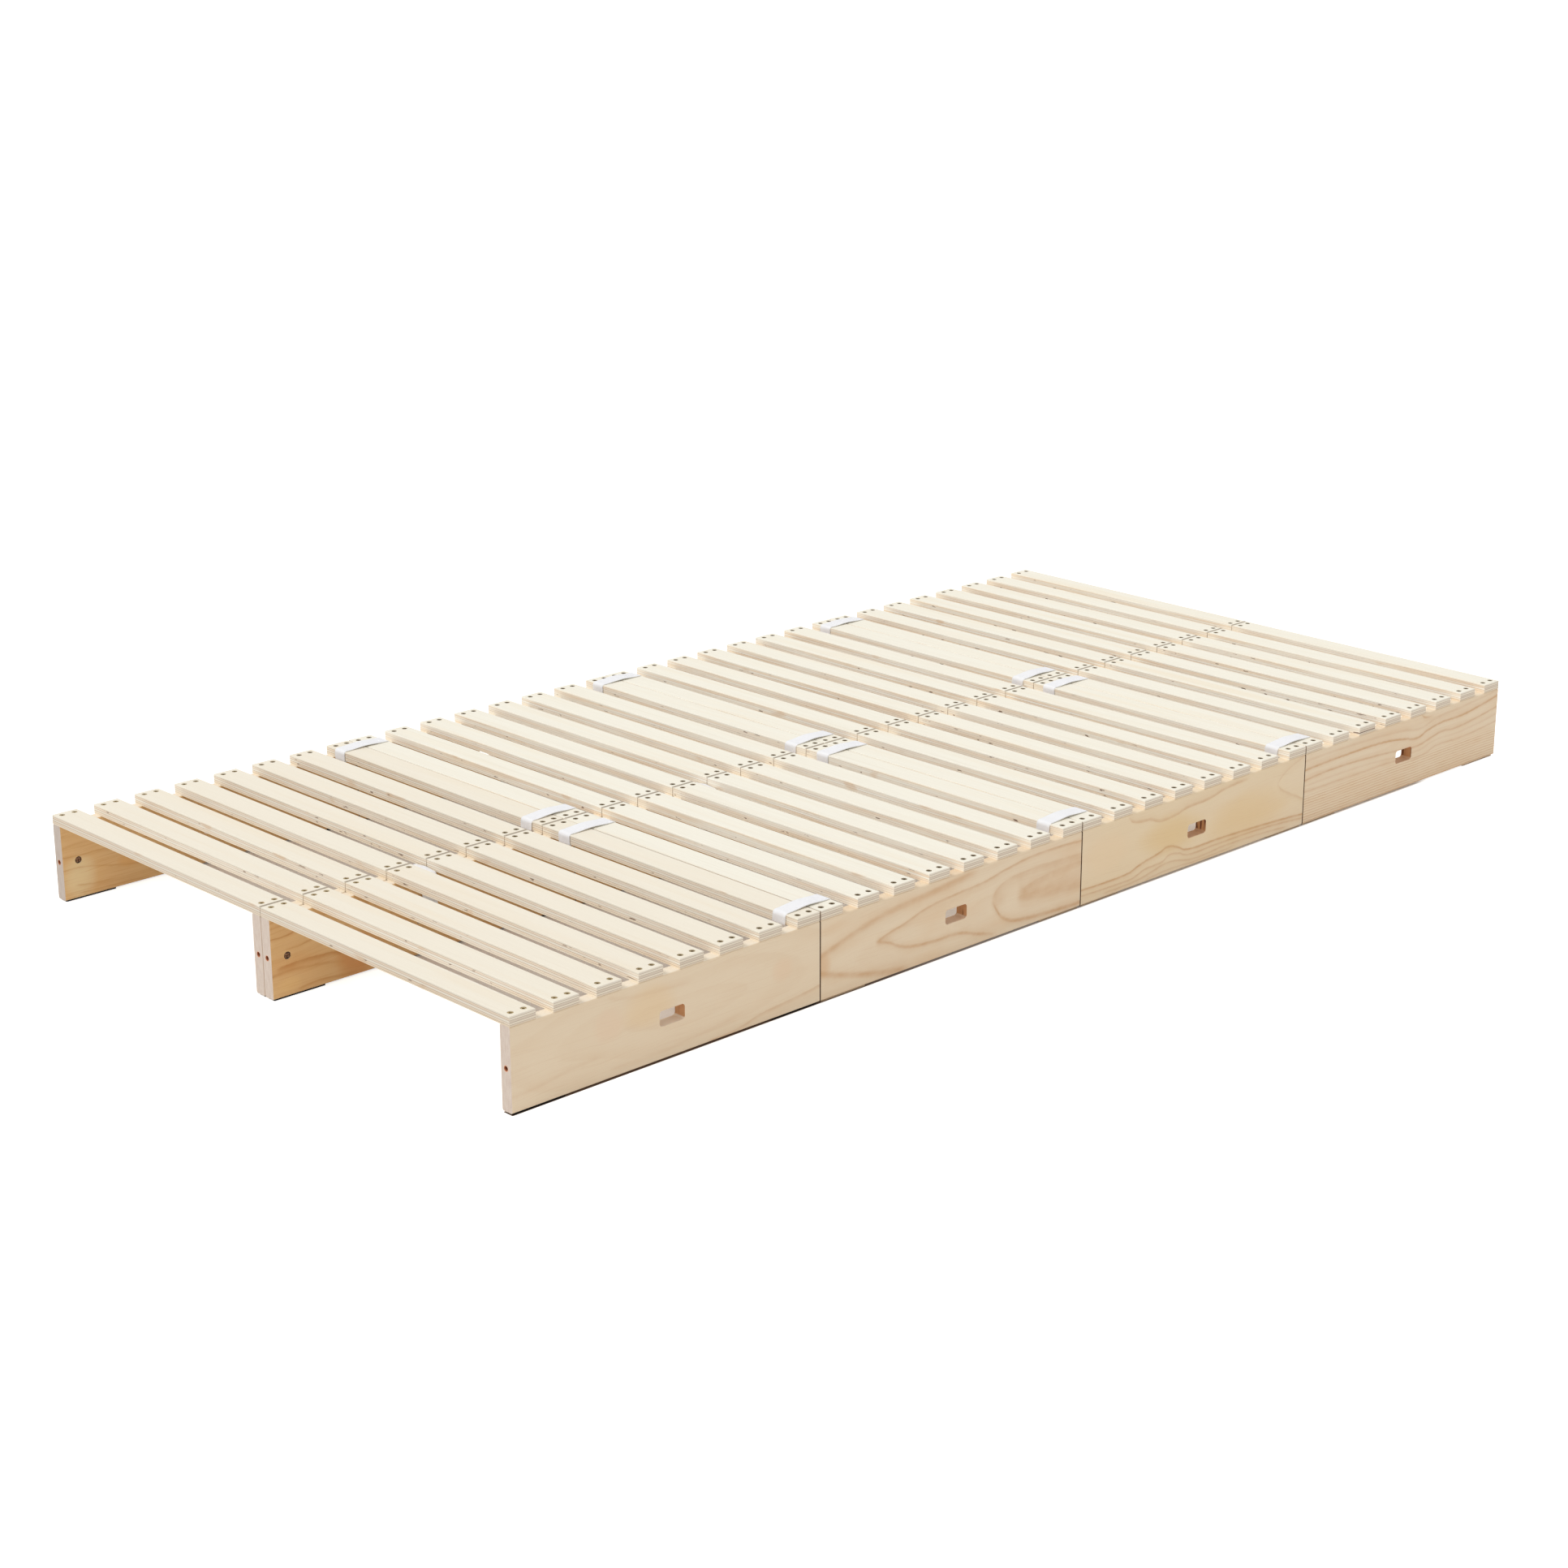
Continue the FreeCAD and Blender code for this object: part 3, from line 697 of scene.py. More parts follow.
    def rings(self, spot: RailSpot) -> Number:
        """Find the growth rings, whose shells lie round the board's heart.

        Args:
            spot: Where the shader is.

        Returns:
            A number that rises from 0 to 1 across each ring.
        """
        g, s, t, d, grain = spot.g, spot.s, spot.t, spot.d, spot.grain
        ripple = g.noise(s * 13.0, t * 5.0 + spot.seed, d * 0.3) - 0.5
        far_s = (s - grain.heart[0]) / grain.reach[0]
        far_t = (t - grain.heart[1] + d * 0.09) / grain.reach[1]
        shell = g.calc("SQRT", far_s * far_s + far_t * far_t + 0.0004)
        ring = shell * grain.rings + spot.sway * grain.wobble * 3.0 + ripple * grain.wobble * 0.35
        phase = ring.part()
        return phase.above(0.30, 0.86) * (1.0 - phase.above(0.90, 1.0))

    def face_colour(self, spot: RailSpot, line: Number) -> Socket:
        """Colour the planed faces: rings, stains and a patch of painted light, growth lines,
        threads and pores, in turn.

        Args:
            spot: Where the shader is.
            line: Where the growth rings are dark.

        Returns:
            The colour.
        """
        g, s, t, d, sway, grain, seed = (
            spot.g, spot.s, spot.t, spot.d, spot.sway, spot.grain, spot.seed)
        fade = g.noise(s * 3.0, t * 2.0 + seed, 5.0).above(0.25, 0.75)
        patch = g.noise(s * 3.4, t * 2.6 + seed, 9.0).above(0.42, 0.72)
        face = g.mix(patch * grain.blush, self.early, self.pink)
        face = g.mix((spot.fibre - 0.4) * 0.35, face, self.cream)
        face = g.mix(line * (fade * 0.6 + 0.4) * grain.strength, face, self.late)
        for stain_and_light in grain.patches:
            off_s = (s - stain_and_light.centre[0]) / stain_and_light.reach[0]
            off_t = (t - stain_and_light.centre[1]) / stain_and_light.reach[1]
            off = off_s * off_s + off_t * off_t + sway * 1.6
            share = (1.0 - off.above(0.0, 1.3)) * stain_and_light.strength
            share = share * spot.into if grain.inside_only else share
            face = g.mix(share, face, stain_and_light.colour)
        jitter = (g.noise(s * 70.0, t * 14.0, seed) - 0.5) * 0.016
        ink = g.noise(s * 26.0, t * 9.0, seed + 4.0, detail=3.0).above(0.2, 0.8) * 0.45 + 0.55
        for stroke in grain.strokes:
            dark = self.line_dark(g, stroke, s, t + jitter)
            face = g.mix(dark * ink * stroke.strength, face, self.late)
        if grain.fine_below:
            lane = (t + jitter + sway * 0.05) / self.lane_share
            fine = lane.part().above(0.25, 0.7) * (1.0 - lane.part().above(0.75, 0.98))
            depth = g.dice(lane.floor(), seed, 2.0) * 0.45 + 0.4
            under = 1.0 - t.above(grain.fine_below - 0.06, grain.fine_below + 0.06)
            face = g.mix(fine * depth * under * ink, face, self.late)
        threads = g.noise(s * 5.0, (t + sway * 0.3) * 80.0, seed + 2.0, detail=3.0, roughness=0.6)
        face = g.mix(threads.above(0.50, 0.74) * (spot.into * 0.22 + 0.12), face, self.late)
        pores = g.noise(s * 30.0, t * 220.0 + seed, d * 30.0, detail=1.0).above(0.66, 0.80)
        return g.tint(pores * 0.16, face, self.late)

    def line_dark(self, g: Graph, stroke: Stroke, s: Number, t: Number) -> Number:
        """Give 1 on a growth line's route, with a pale skirt, falling to 0 past its ends.

        Args:
            g: The tree.
            stroke: The growth line.
            s: Place along the rail.
            t: Height on the rail.

        Returns:
            How dark the line is there.
        """
        off = t - g.curve(s, stroke.route)
        away = g.calc("MAXIMUM", off / stroke.above, off / -stroke.below)
        dark = (1.0 - away.above(0.0, 1.0)) * 0.72 + (1.0 - away.above(0.2, 2.8)) * 0.28
        first, last = stroke.route[0][0], stroke.route[-1][0]
        if first > 0.0:
            dark = dark * s.above(first - 0.012, first + 0.012)
        if last < 1.0:
            dark = dark * (1.0 - s.above(last - 0.06, last))
        return dark

    def end_colour(self, spot: RailSpot) -> Socket:
        """Colour the end grain: faint ring arcs and veins.

        Args:
            spot: Where the shader is.

        Returns:
            The colour.
        """
        g, t, d = spot.g, spot.t, spot.d
        arc_phase = (t * 4.0 + d * 1.6 + spot.sway * 3.0).part()
        arcs = arc_phase.above(0.1, 0.9) * (1.0 - arc_phase.above(0.92, 1.0))
        veins = g.noise(d * 9.0, t * 8.0 + spot.seed, 3.0, detail=3.0)
        end = g.mix(arcs * 0.14, self.end, self.end_line)
        return g.mix(veins.above(0.35, 0.75) * 0.55, end, self.end_line)

    def hole_colour(self, spot: RailSpot, cut_off: Number, up: Number) -> Socket:
        """Colour the walls of the hand hole: scorched cutter marks, and a sill made paler by
        painted light.

        Args:
            spot: Where the shader is.
            cut_off: How squarely the wall faces along the rail.
            up: How far the wall faces up.

        Returns:
            The colour.
        """
        g, chatter = spot.g, spot.grain.chatter
        marks = g.noise(spot.d * 5.5, spot.t * 2.0 + spot.seed, spot.s * 40.0, detail=1.0)
        cut = g.mix(marks.above(0.50, 0.62) * cut_off * chatter, self.bored, self.scorch)
        # Painted light: the wall that faces up, the sill, takes the paler colour.
        sill = g.mix(chatter * 0.8, self.sill, self.bored)
        return g.mix(up.above(0.3, 0.7), cut, sill)


@dataclass(frozen=True)
class Webbing:
    """White woven webbing with fine ribs across it."""

    white: Colour = tone(254, 254, 254)
    shade: Colour = tone(238, 237, 244)
    rib_pitch: float = 1.3 * MM
    yarn_pitch: float = 1.1 * MM

    def material(self) -> bpy.types.Material:
        """Make the material from the strap's own map: metres along and across it.

        Returns:
            The material.
        """
        g = Graph("webbing")
        along, across, _ = g.axes("UV")
        rib = along / self.rib_pitch
        yarn = across / self.yarn_pitch
        row = rib.floor()
        over = g.calc("SINE", (rib + yarn.floor() * 0.5) * math.tau) * 0.5 + 0.5
        lane = g.calc("SINE", yarn * math.tau) * 0.5 + 0.5
        weave = over * 0.6 + lane * 0.4
        tint = g.dice(row, yarn.floor(), 1.0)
        soil = g.noise(along * 60.0, across * 60.0, 2.0, detail=3.0)
        colour = g.mix((1.0 - weave) * 0.45 + tint * 0.1, self.white, self.shade)
        colour = g.mix(soil.above(0.5, 0.8) * 0.15, colour, self.shade)
        return g.finish(colour, 0.85, g.bump(weave, 0.22 * MM), Sheen_Weight=0.15,
                        Specular_IOR_Level=0.15)


@dataclass(frozen=True)
class Brass:
    """Yellow plated screws, dull in places, with painted shade that dims them in the far rows."""

    bright: Colour = tone(200, 178, 128)
    dull: Colour = tone(146, 120, 80)
    shade: Colour = tone(166, 158, 142)
    shade_from: float = -0.98
    shade_to: float = -0.40

    def material(self) -> bpy.types.Material:
        """Make the material: fine turning marks and darker specks, with painted shade in the far
        rows.

        Returns:
            The material.
        """
        g = Graph("screw_brass")
        x, y, z = g.axes("Object")
        wear = g.noise(x * 700.0, y * 700.0, z * 700.0, detail=2.0)
        colour = g.mix(wear.above(0.35, 0.7), self.bright, self.dull)
        # Painted shade: the heads darken towards the far rows.
        colour = g.tint(y.above(self.shade_from, self.shade_to), colour, self.shade)
        return g.finish(colour, wear * 0.25 + 0.32, g.bump(wear, 0.05 * MM), Metallic=0.85)


@dataclass(frozen=True)
class Steel:
    """Turned steel of the cross dowels, browned, with painted shadow at the edge where it meets the
    bore.
    """

    bright: Colour = tone(156, 116, 84)
    dark: Colour = tone(88, 58, 40)
    # Colour of the painted shadow at each dowel's edge.
    rim: Colour = tone(34, 19, 12)
    first_row: float = -980.0 * MM
    row_pitch: float = 490.5 * MM
    pallet: float = 488.5 * MM
    inset: float = 24.0 * MM
    rise: float = 56.0 * MM
    radius: float = 5.0 * MM

    def material(self) -> bpy.types.Material:
        """Make the material: each dowel's painted shadow edge is found from its place along the
        pallet.

        Returns:
            The material.
        """
        g = Graph("dowel_steel")
        x, y, z = g.axes("Object")
        wear = g.noise(x * 500.0, y * 500.0, z * 500.0, detail=2.0)
        colour = g.mix(wear.above(0.3, 0.7), self.bright, self.dark)
        past = y - self.first_row
        in_row = past - (past / self.row_pitch).floor() * self.row_pitch
        off_y = g.calc("MINIMUM", in_row, self.pallet - in_row) - self.inset
        off_z = z - self.rise
        out = g.calc("SQRT", off_y * off_y + off_z * off_z) / self.radius
        # Painted shadow: a dark ring at the dowel's edge, where the bore's gap lies.
        colour = g.mix(out.above(0.62, 0.88), colour, self.rim)
        return g.finish(colour, wear * 0.2 + 0.4, g.bump(wear, 0.04 * MM), Metallic=0.4)


@dataclass(frozen=True)
class Rubber:
    """Rubber of the glide pads, with a fine moulded grain: black, or as pale as the wood."""

    black: tuple[Colour, Colour] = (tone(16, 15, 14), tone(30, 28, 27))
    pale: tuple[Colour, Colour] = (tone(168, 144, 116), tone(188, 164, 136))

    def material(self, name: str, tones: tuple[Colour, Colour]) -> bpy.types.Material:
        """Make a material with a fine moulded grain.

        Args:
            name: Its name.
            tones: Its two tones, which the grain mixes.

        Returns:
            The material.
        """
        g = Graph(name)
        x, y, z = g.axes("Object")
        grain = g.noise(x * 900.0, y * 900.0, z * 900.0, detail=2.0)
        colour = g.mix(grain.above(0.4, 0.7), *tones)
        return g.finish(colour, 0.9, g.bump(grain, 0.1 * MM), Specular_IOR_Level=0.1)


def dress(node: str, material: bpy.types.Material) -> None:
    """Give a CAD node a material in place of its own.

    Args:
        node: Name of the node.
        material: The material.
    """
    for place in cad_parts[node].material_slots:
        place.link = "OBJECT"
        place.material = material
    LOG.info("dressed %s with %s", node, material.name)


@dataclass
class Timber:
    """The slats and rails of all pallets, which keep their CAD shapes."""

    plywood: Plywood = field(default_factory=Plywood)
    pine: Pine = field(default_factory=Pine)
    slat_width: float = 38.0 * MM
    show_grain: tuple[Grain, ...] = (
        Grain(
            heart=(0.56, 0.60), reach=(0.60, 0.62), rings=3.0, wobble=0.5, strength=0.10,
            seed=1.0, blush=0.10, chatter=0.12,
            strokes=growth_lines(
                ((22, 5, 3), 0, 19, 6, 20, 18, 27, 30, 30),
                ((46, 1.5, 5), 62, 2, 70, 3, 80, 12, 90, 16, 100, 21),
                ((20, 5, 3), 30, 94, 36, 87, 45, 83, 58, 81),
                ((16, 4, 5), 30, 10, 45, 9, 60, 14, 76, 24),
            ),
            patches=(
                Patch((0.43, 0.70), (0.09, 0.26), tone(238, 209, 168), 0.7),
                Patch((0.87, 0.56), (0.04, 0.16), tone(238, 206, 172), 0.5),
                Patch((0.30, 0.62), (0.05, 0.22), tone(238, 206, 174), 0.4),
            )),
        Grain(
            heart=(1.04, 0.44), reach=(0.9, 0.5), rings=3.0, wobble=0.4, strength=0.10,
            seed=2.0, blush=0.40, chatter=0.6, top_light_share=0.1,
            strokes=growth_lines(
                ((60, 6, 8), 0, 55, 5, 62, 15, 74, 25, 82, 40, 88, 60, 96),
                ((74, 6, 7), 0, 34, 5, 27, 12, 18, 20, 10, 34, 1),
                ((68, 1.8, 4), 20.5, 49, 23, 53.5, 30, 60, 40, 71, 50, 75, 60, 77.5, 70, 85,
                 80, 90, 100, 88),
                ((74, 3.5, 4), 20.5, 49, 25, 42, 29, 33, 33, 28, 42, 24, 50, 23.5, 57, 15,
                 67, 3),
                ((46, 5, 6), 20.5, 50, 23, 50, 27, 50),
                ((42, 3, 12), 64.5, 52, 66, 62, 69, 68, 76, 72, 90, 72, 100, 70),
                ((80, 5, 4), 64.5, 46, 66, 34, 69, 20, 74, 12, 82, 8.5, 100, 5),
                ((38, 14, 16), 64.5, 49, 67, 49, 71, 48),
                ((55, 22, 7), 74.5, 40, 80, 36, 88, 32, 100, 28),
                ((38, 3, 14), 76, 50, 82, 56, 92, 60, 100, 60),
            ),
            patches=(Patch((0.0, 0.45), (0.04, 0.20), tone(226, 184, 140), 0.6),)),
        Grain(
            heart=(0.30, 1.10), reach=(1.10, 0.75), rings=3.0, wobble=0.45, strength=0.08,
            seed=3.0, blush=0.05, chatter=1.0, top_light_share=0.3,
            strokes=growth_lines(
                ((58, 5, 1.4), 20, 95, 23, 86, 29, 83, 34, 76, 41, 78, 45, 82, 55, 84, 62, 90,
                 75, 93),
                ((94, 1.4, 3.5), 0, 21, 12, 20, 20, 21, 25, 27, 34, 34.5, 37, 38, 41, 34, 46, 25,
                 60, 24, 80, 21, 100, 16),
                ((62, 1.4, 3), 0, 13, 15, 11.5, 22, 12, 27, 18, 35, 20, 38, 26, 42, 24, 46, 17.5,
                 60, 17, 80, 16, 100, 10),
                ((53, 1.4, 3), 10, 6, 24, 7, 30, 11, 37, 16, 42, 14, 48, 9, 65, 11, 95, 5),
                ((44, 1.2, 2), 28, 3, 38, 6, 50, 4, 70, 6),
                ((38, 1.2, 5), 87.5, 70, 89, 63, 93, 53, 100, 38),
                ((31, 4, 1.2), 87.5, 72, 90, 82, 94, 90, 100, 98),
            ),
            patches=(
                Patch((0.50, 0.50), (0.70, 0.80), tone(238, 214, 174), 0.6),
                Patch((0.40, 0.55), (0.15, 0.30), tone(232, 200, 146), 0.75),
                Patch((0.73, 0.46), (0.20, 0.36), tone(234, 202, 152), 0.70),
                Patch((0.10, 0.58), (0.10, 0.26), tone(240, 212, 174), 0.50),
            )),
        Grain(
            heart=(0.10, -2.60), reach=(5.0, 1.0), rings=5.0, wobble=0.42, strength=0.10,
            seed=4.0, blush=0.35, fine_below=0.40, chatter=0.9, top_light_share=0.3,
            strokes=growth_lines(
                ((35, 3, 3), 0, 90, 25, 90, 50, 85, 58, 80, 66, 87, 80, 91, 100, 98),
                ((90, 3.5, 2), 0, 77, 20, 79, 40, 77.5, 50, 72, 57, 67, 62, 73, 70, 78, 80, 78,
                 90, 83, 100, 90),
                ((69, 3, 1.8), 0, 62, 12, 65, 35, 62, 50, 57, 57, 55, 64, 60, 70, 64, 77, 62,
                 88, 66, 100, 73),
                ((28, 3, 2), 0, 54, 30, 54, 52, 48, 58, 48, 66, 54, 80, 54, 100, 62),
                ((50, 2.5, 1.5), 0, 45.5, 30, 45, 46, 44, 55, 38, 62, 40, 67, 45.5, 80, 45,
                 100, 51),
                ((88, 1.5, 3), 59, 99, 61, 94, 64, 93, 66, 98),
            )),
    )

    near_left: Grain = Grain(
        heart=(0.4, -1.9), reach=(2.6, 1.0), rings=7.0, wobble=0.45, strength=0.16, seed=11.0,
        blush=0.15, end_shade=1.0, inside_only=True,
        strokes=growth_lines(
            ((60, 1.2, 2), 0, 86, 2, 86.5, 4, 87),
            ((35, 2, 3), 0, 70, 6, 73, 10, 72),
            ((70, 1.2, 2), 0, 57.5, 6, 56.5, 12, 57, 16, 55),
            ((45, 1.2, 2), 0, 40, 6, 40, 12, 35, 20, 28, 32, 22),
            ((45, 1.2, 3), 4, 18, 8, 15, 12, 14, 18, 15),
            ((50, 1.2, 2), 5, 6, 15, 5, 30, 4),
        ),
        # Painted light: the inner face is paler near the front end.
        patches=(Patch((0.05, 0.28), (0.055, 0.34), tone(247, 246, 232), 0.85),
                 Patch((0.21, 0.34), (0.04, 0.10), tone(236, 196, 140), 0.5)))
    near_seam: Grain = Grain(
        heart=(0.3, -1.7), reach=(2.4, 1.0), rings=7.0, wobble=0.5, strength=0.16, seed=12.0,
        blush=0.5, inside_only=True,
        strokes=growth_lines(
            ((60, 1.2, 2), 0, 95, 2, 96, 5, 95),
            ((60, 1.2, 2), 0, 88, 3, 89, 6, 89),
            ((40, 1.2, 2), 0, 82, 3, 83, 8, 83),
            ((90, 1.2, 2), 0, 75.5, 4, 75, 8, 78, 12, 80),
            ((55, 1.2, 2), 5, 58, 9, 58.5, 12, 61, 16, 60),
            ((100, 1.2, 7), 2, 37, 5, 38.5, 10, 39.5, 16, 38.5, 24, 35, 34, 28),
            ((70, 3, 3), 0, 29, 7, 31, 11, 29, 16, 27, 24, 20),
            ((60, 1.5, 3), 8, 5, 14, 8, 22, 5, 30, 3),
        ),
        patches=(Patch((0.27, 0.22), (0.07, 0.28), tone(222, 172, 128), 0.8),
                 Patch((0.05, 0.14), (0.04, 0.10), tone(246, 226, 186), 0.5)))

    def dress_slats(self) -> None:
        """Dress the slats, whose grain is laid out by the first slat and the rows' pitch."""
        first_low, first_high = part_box("row1_left_slats")
        next_low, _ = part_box("row2_left_slats")
        row_pitch = next_low[1] - first_low[1]
        slat_pitch = (first_high[1] - first_low[1] - self.slat_width) / (SLATS_PER_PALLET - 1)
        material = self.plywood.material(
            tuple(first_low), first_high[2] - first_low[2], row_pitch, slat_pitch,
            row_pitch - (first_high[1] - first_low[1]))
        for row in ROWS:
            for side in Side:
                dress(f"row{row}_{side.value}_slats", material)

    def rail_grain(self, row: int, side: Side, place: Place) -> Grain:
        """Choose how a rail's rings run: as seen on the shown side, else from its number.

        Args:
            row: Number of the row.
            side: Column of the pallet.
            place: Where the rail stands in its pallet.

        Returns:
            The grain.
        """
        if side is Side.RIGHT and place is Place.OUTER:
            return self.show_grain[row - 1]
        if row == 1 and (side is Side.LEFT) == (place is Place.OUTER):
            return self.near_left if side is Side.LEFT else self.near_seam
        number = row * 4 + (side is Side.RIGHT) * 2 + (place is Place.INNER)
        luck = np.random.default_rng(number)
        return Grain(
            heart=(float(luck.uniform(0.1, 0.9)), float(luck.uniform(-2.4, -0.4))),
            reach=(float(luck.uniform(1.6, 3.4)), 1.0),
            rings=float(luck.uniform(5.0, 8.0)),
            wobble=float(luck.uniform(0.3, 0.55)),
            strength=float(luck.uniform(0.25, 0.40)),
            seed=10.0 + number,
            blush=float(luck.uniform(0.15, 0.35)),
        )

    def dress_rails(self) -> None:
        """Dress each rail with rings of its own."""
        for row in ROWS:
            for side in Side:
                for place in Place:
                    node = f"row{row}_{side.value}_rail_{place.value}"
                    low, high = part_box(node)
                    inner_way = 1.0 if (side is Side.LEFT) == (place is Place.OUTER) else -1.0
                    grain = self.rail_grain(row, side, place)
                    joints = (row > ROWS[0], row < ROWS[-1])
                    dress(node, self.pine.material(f"pine_{node}", tuple(low), tuple(high),
                                                   grain, inner_way, joints))


@dataclass
class Fittings:
    """The screws, cross dowels and glide pads, which keep their CAD shapes."""

    brass: Brass = field(default_factory=Brass)
    steel: Steel = field(default_factory=Steel)
    rubber: Rubber = field(default_factory=Rubber)

    def dress_all(self) -> None:
        """Dress the fittings of every pallet: only the near row's pads show black."""
        brass, steel = self.brass.material(), self.steel.material()
        black = self.rubber.material("black_rubber", self.rubber.black)
        pale = self.rubber.material("pale_rubber", self.rubber.pale)
        for row in ROWS:
            for side in Side:
                pallet = f"row{row}_{side.value}"
                dress(f"{pallet}_screws", brass)
                dress(f"{pallet}_cross_dowels", steel)
                dress(f"{pallet}_pads", black if row == ROWS[0] else pale)


@dataclass
class Band:
    """A closed loop of flat webbing, carried along a path in one plane."""

    width: float
    thick: float
    across_steps: int = 7
    edge_steps: int = 4

    def section(self) -> np.ndarray:
        """Work out the webbing's cross-section.

        It is a long flat shape with round ends: two straight sides a thickness apart, and a
        half circle at each end.

        Returns:
            An array of (across, out) points in order round the section.
        """
        round_edge = self.thick / 2
        flat = self.width / 2 - round_edge
        sweep = np.linspace(0.0, np.pi, self.edge_steps + 2)[1:-1]
        run = np.linspace(-flat, flat, self.across_steps)
        top = np.stack([run, np.full_like(run, round_edge)], 1)
        right = np.stack([flat + round_edge * np.sin(sweep), round_edge * np.cos(sweep)], 1)
        return np.concatenate([top, right, -top, -right])

    def surface(self, path: np.ndarray, sway: np.ndarray) -> tuple[np.ndarray, ...]:
        """Carry the section along a closed path.

        Each point is the path's point, plus the section's out times the path's outward
        normal, plus its across, and the sway there, along the band's width.

        Args:
            path: Points (run, rise) of the middle of the webbing, in order, not repeated.
            sway: How far the middle is moved along the width at each point.

        Returns:
            Points (across, run, rise), quads of point numbers, and the map's corners in
            metres along and across the webbing.
        """
        ahead, behind = np.roll(path, -1, axis=0), np.roll(path, 1, axis=0)
        way = ahead - behind
        way /= np.linalg.norm(way, axis=1, keepdims=True)
        out = np.stack([-way[:, 1], way[:, 0]], axis=1)
        section = self.section()
        middle = path[:, None, :] + out[:, None, :] * section[None, :, 1, None]
        across = section[None, :, 0] + sway[:, None]
        points = np.concatenate([across[:, :, None], middle], axis=2)

        rings, sides = len(path), len(section)
        ring, side = np.meshgrid(np.arange(rings), np.arange(sides), indexing="ij")
        corner_rings = np.stack([ring, ring + 1, ring + 1, ring], axis=-1)
        corner_sides = np.stack([side, side, side + 1, side + 1], axis=-1)
        quads = (corner_rings % rings) * sides + corner_sides % sides
        steps = np.linalg.norm(ahead - path, axis=1)
        lengths = np.concatenate([[0.0], np.cumsum(steps)])
        rim = np.linalg.norm(np.roll(section, -1, axis=0) - section, axis=1)
        girths = np.concatenate([[0.0], np.cumsum(rim)])
        corners = np.stack([lengths[corner_rings], girths[corner_sides]], axis=-1)
        return points.reshape(-1, 3), quads.reshape(-1, 4), corners.reshape(-1, 2)


def arc(centre: tuple[float, float], radius: float, start: float, end: float,
        steps: int) -> np.ndarray:
    """Give points on a circle's arc: the centre plus the radius turned from start to end.

    Args:
        centre: Middle of the circle.
        radius: Radius of the circle.
        start: First angle, in degrees.
        end: Last angle, in degrees.
        steps: Number of points.

    Returns:
        The points.
    """
    turn = np.radians(np.linspace(start, end, steps))
    return np.stack([centre[0] + radius * np.cos(turn), centre[1] + radius * np.sin(turn)], 1)


def make_piece(name: str, points: np.ndarray, quads: np.ndarray, corners: np.ndarray,
               material: bpy.types.Material) -> bpy.types.Object:
    """Put a surface of quads into a mesh, with its map, its faces pointing outwards.

    Args:
        name: Name of the piece.
        points: Its points, in metres, in the bed's frame.
        quads: Four point numbers for each face.
        corners: Map corner for each corner of each face.
        material: Its material.

    Returns:
        The new object, at the origin.
    """
    first, second, third = (points[quads[:, corner]] for corner in (0, 1, 2))
    fourth = points[quads[:, 3]]
    volume = (np.cross(first, second) * third + np.cross(first, third) * fourth).sum() / 6
    if volume < 0:
        quads = quads[:, ::-1]
        corners = corners.reshape(-1, 4, 2)[:, ::-1].reshape(-1, 2)
    mesh = bpy.data.meshes.new(name)
    mesh.vertices.add(len(points))
    mesh.vertices.foreach_set("co", points.astype(np.float32).ravel())
    mesh.loops.add(quads.size)
    mesh.loops.foreach_set("vertex_index", quads.astype(np.int32).ravel())
    mesh.polygons.add(len(quads))
    mesh.polygons.foreach_set("loop_start", np.arange(0, quads.size, 4, dtype=np.int32))
    mesh.polygons.foreach_set("use_smooth", np.ones(len(quads), bool))
    uv_map = mesh.uv_layers.new(name="webbing")
    mesh.update(calc_edges=True)
    uv_map.uv.foreach_set("vector", corners.astype(np.float32).ravel())
    mesh.materials.append(material)
    mesh.validate()
    piece = bpy.data.objects.new(name, mesh)
    bpy.context.scene.collection.objects.link(piece)
    return piece


@dataclass
class Loop:
    """The middle line of a strap that is closed round timber, seen from its edge.

    It runs up the near side, over, and back along the bottom. The top is a raised cosine,
    flat at both ends and highest in the middle, the sides draw in as a sine of their height,
    and arcs join them.
    """

    half: float
    base: float
    top: float
    low_round: float
    high_round: float
    crown: float
    waist: float = 0.0
    low_steps: int = 5
    high_steps: int = 9
    side_steps: int = 6

    def path(self, shares: np.ndarray) -> np.ndarray:
        """Work out the line.

        Args:
            shares: Places of the top's points, from -1 at its start to 1 at its end.

        Returns:
            Points (along the loop from its middle, height) in order, not repeated.
        """
        half, base, top, low, high = self.half, self.base, self.top, self.low_round, self.high_round
        crest = top + self.crown * 0.5 * (1.0 + np.cos(np.pi * shares))
        over = np.stack([shares * (half - high), crest], axis=1)
        under_run = shares[::-1] * (half - low)
        under = np.stack([under_run, np.full_like(under_run, base)], axis=1)
        share = np.linspace(0.0, 1.0, self.side_steps)[1:-1]
        rise = base + low + (top - high - base - low) * share
        drawn = half - self.waist * np.sin(np.pi * share)
        near = np.stack([-drawn, rise], axis=1)
        far = np.stack([drawn, rise], axis=1)[::-1]
        return np.concatenate([
            arc((low - half, base + low), low, 270.0, 180.0, self.low_steps), near,
            arc((high - half, top - high), high, 180.0, 90.0, self.high_steps)[:-1], over,
            arc((half - high, top - high), high, 90.0, 0.0, self.high_steps)[1:], far,
            arc((half - low, base + low), low, 360.0, 270.0, self.low_steps), under[1:-1],
        ])


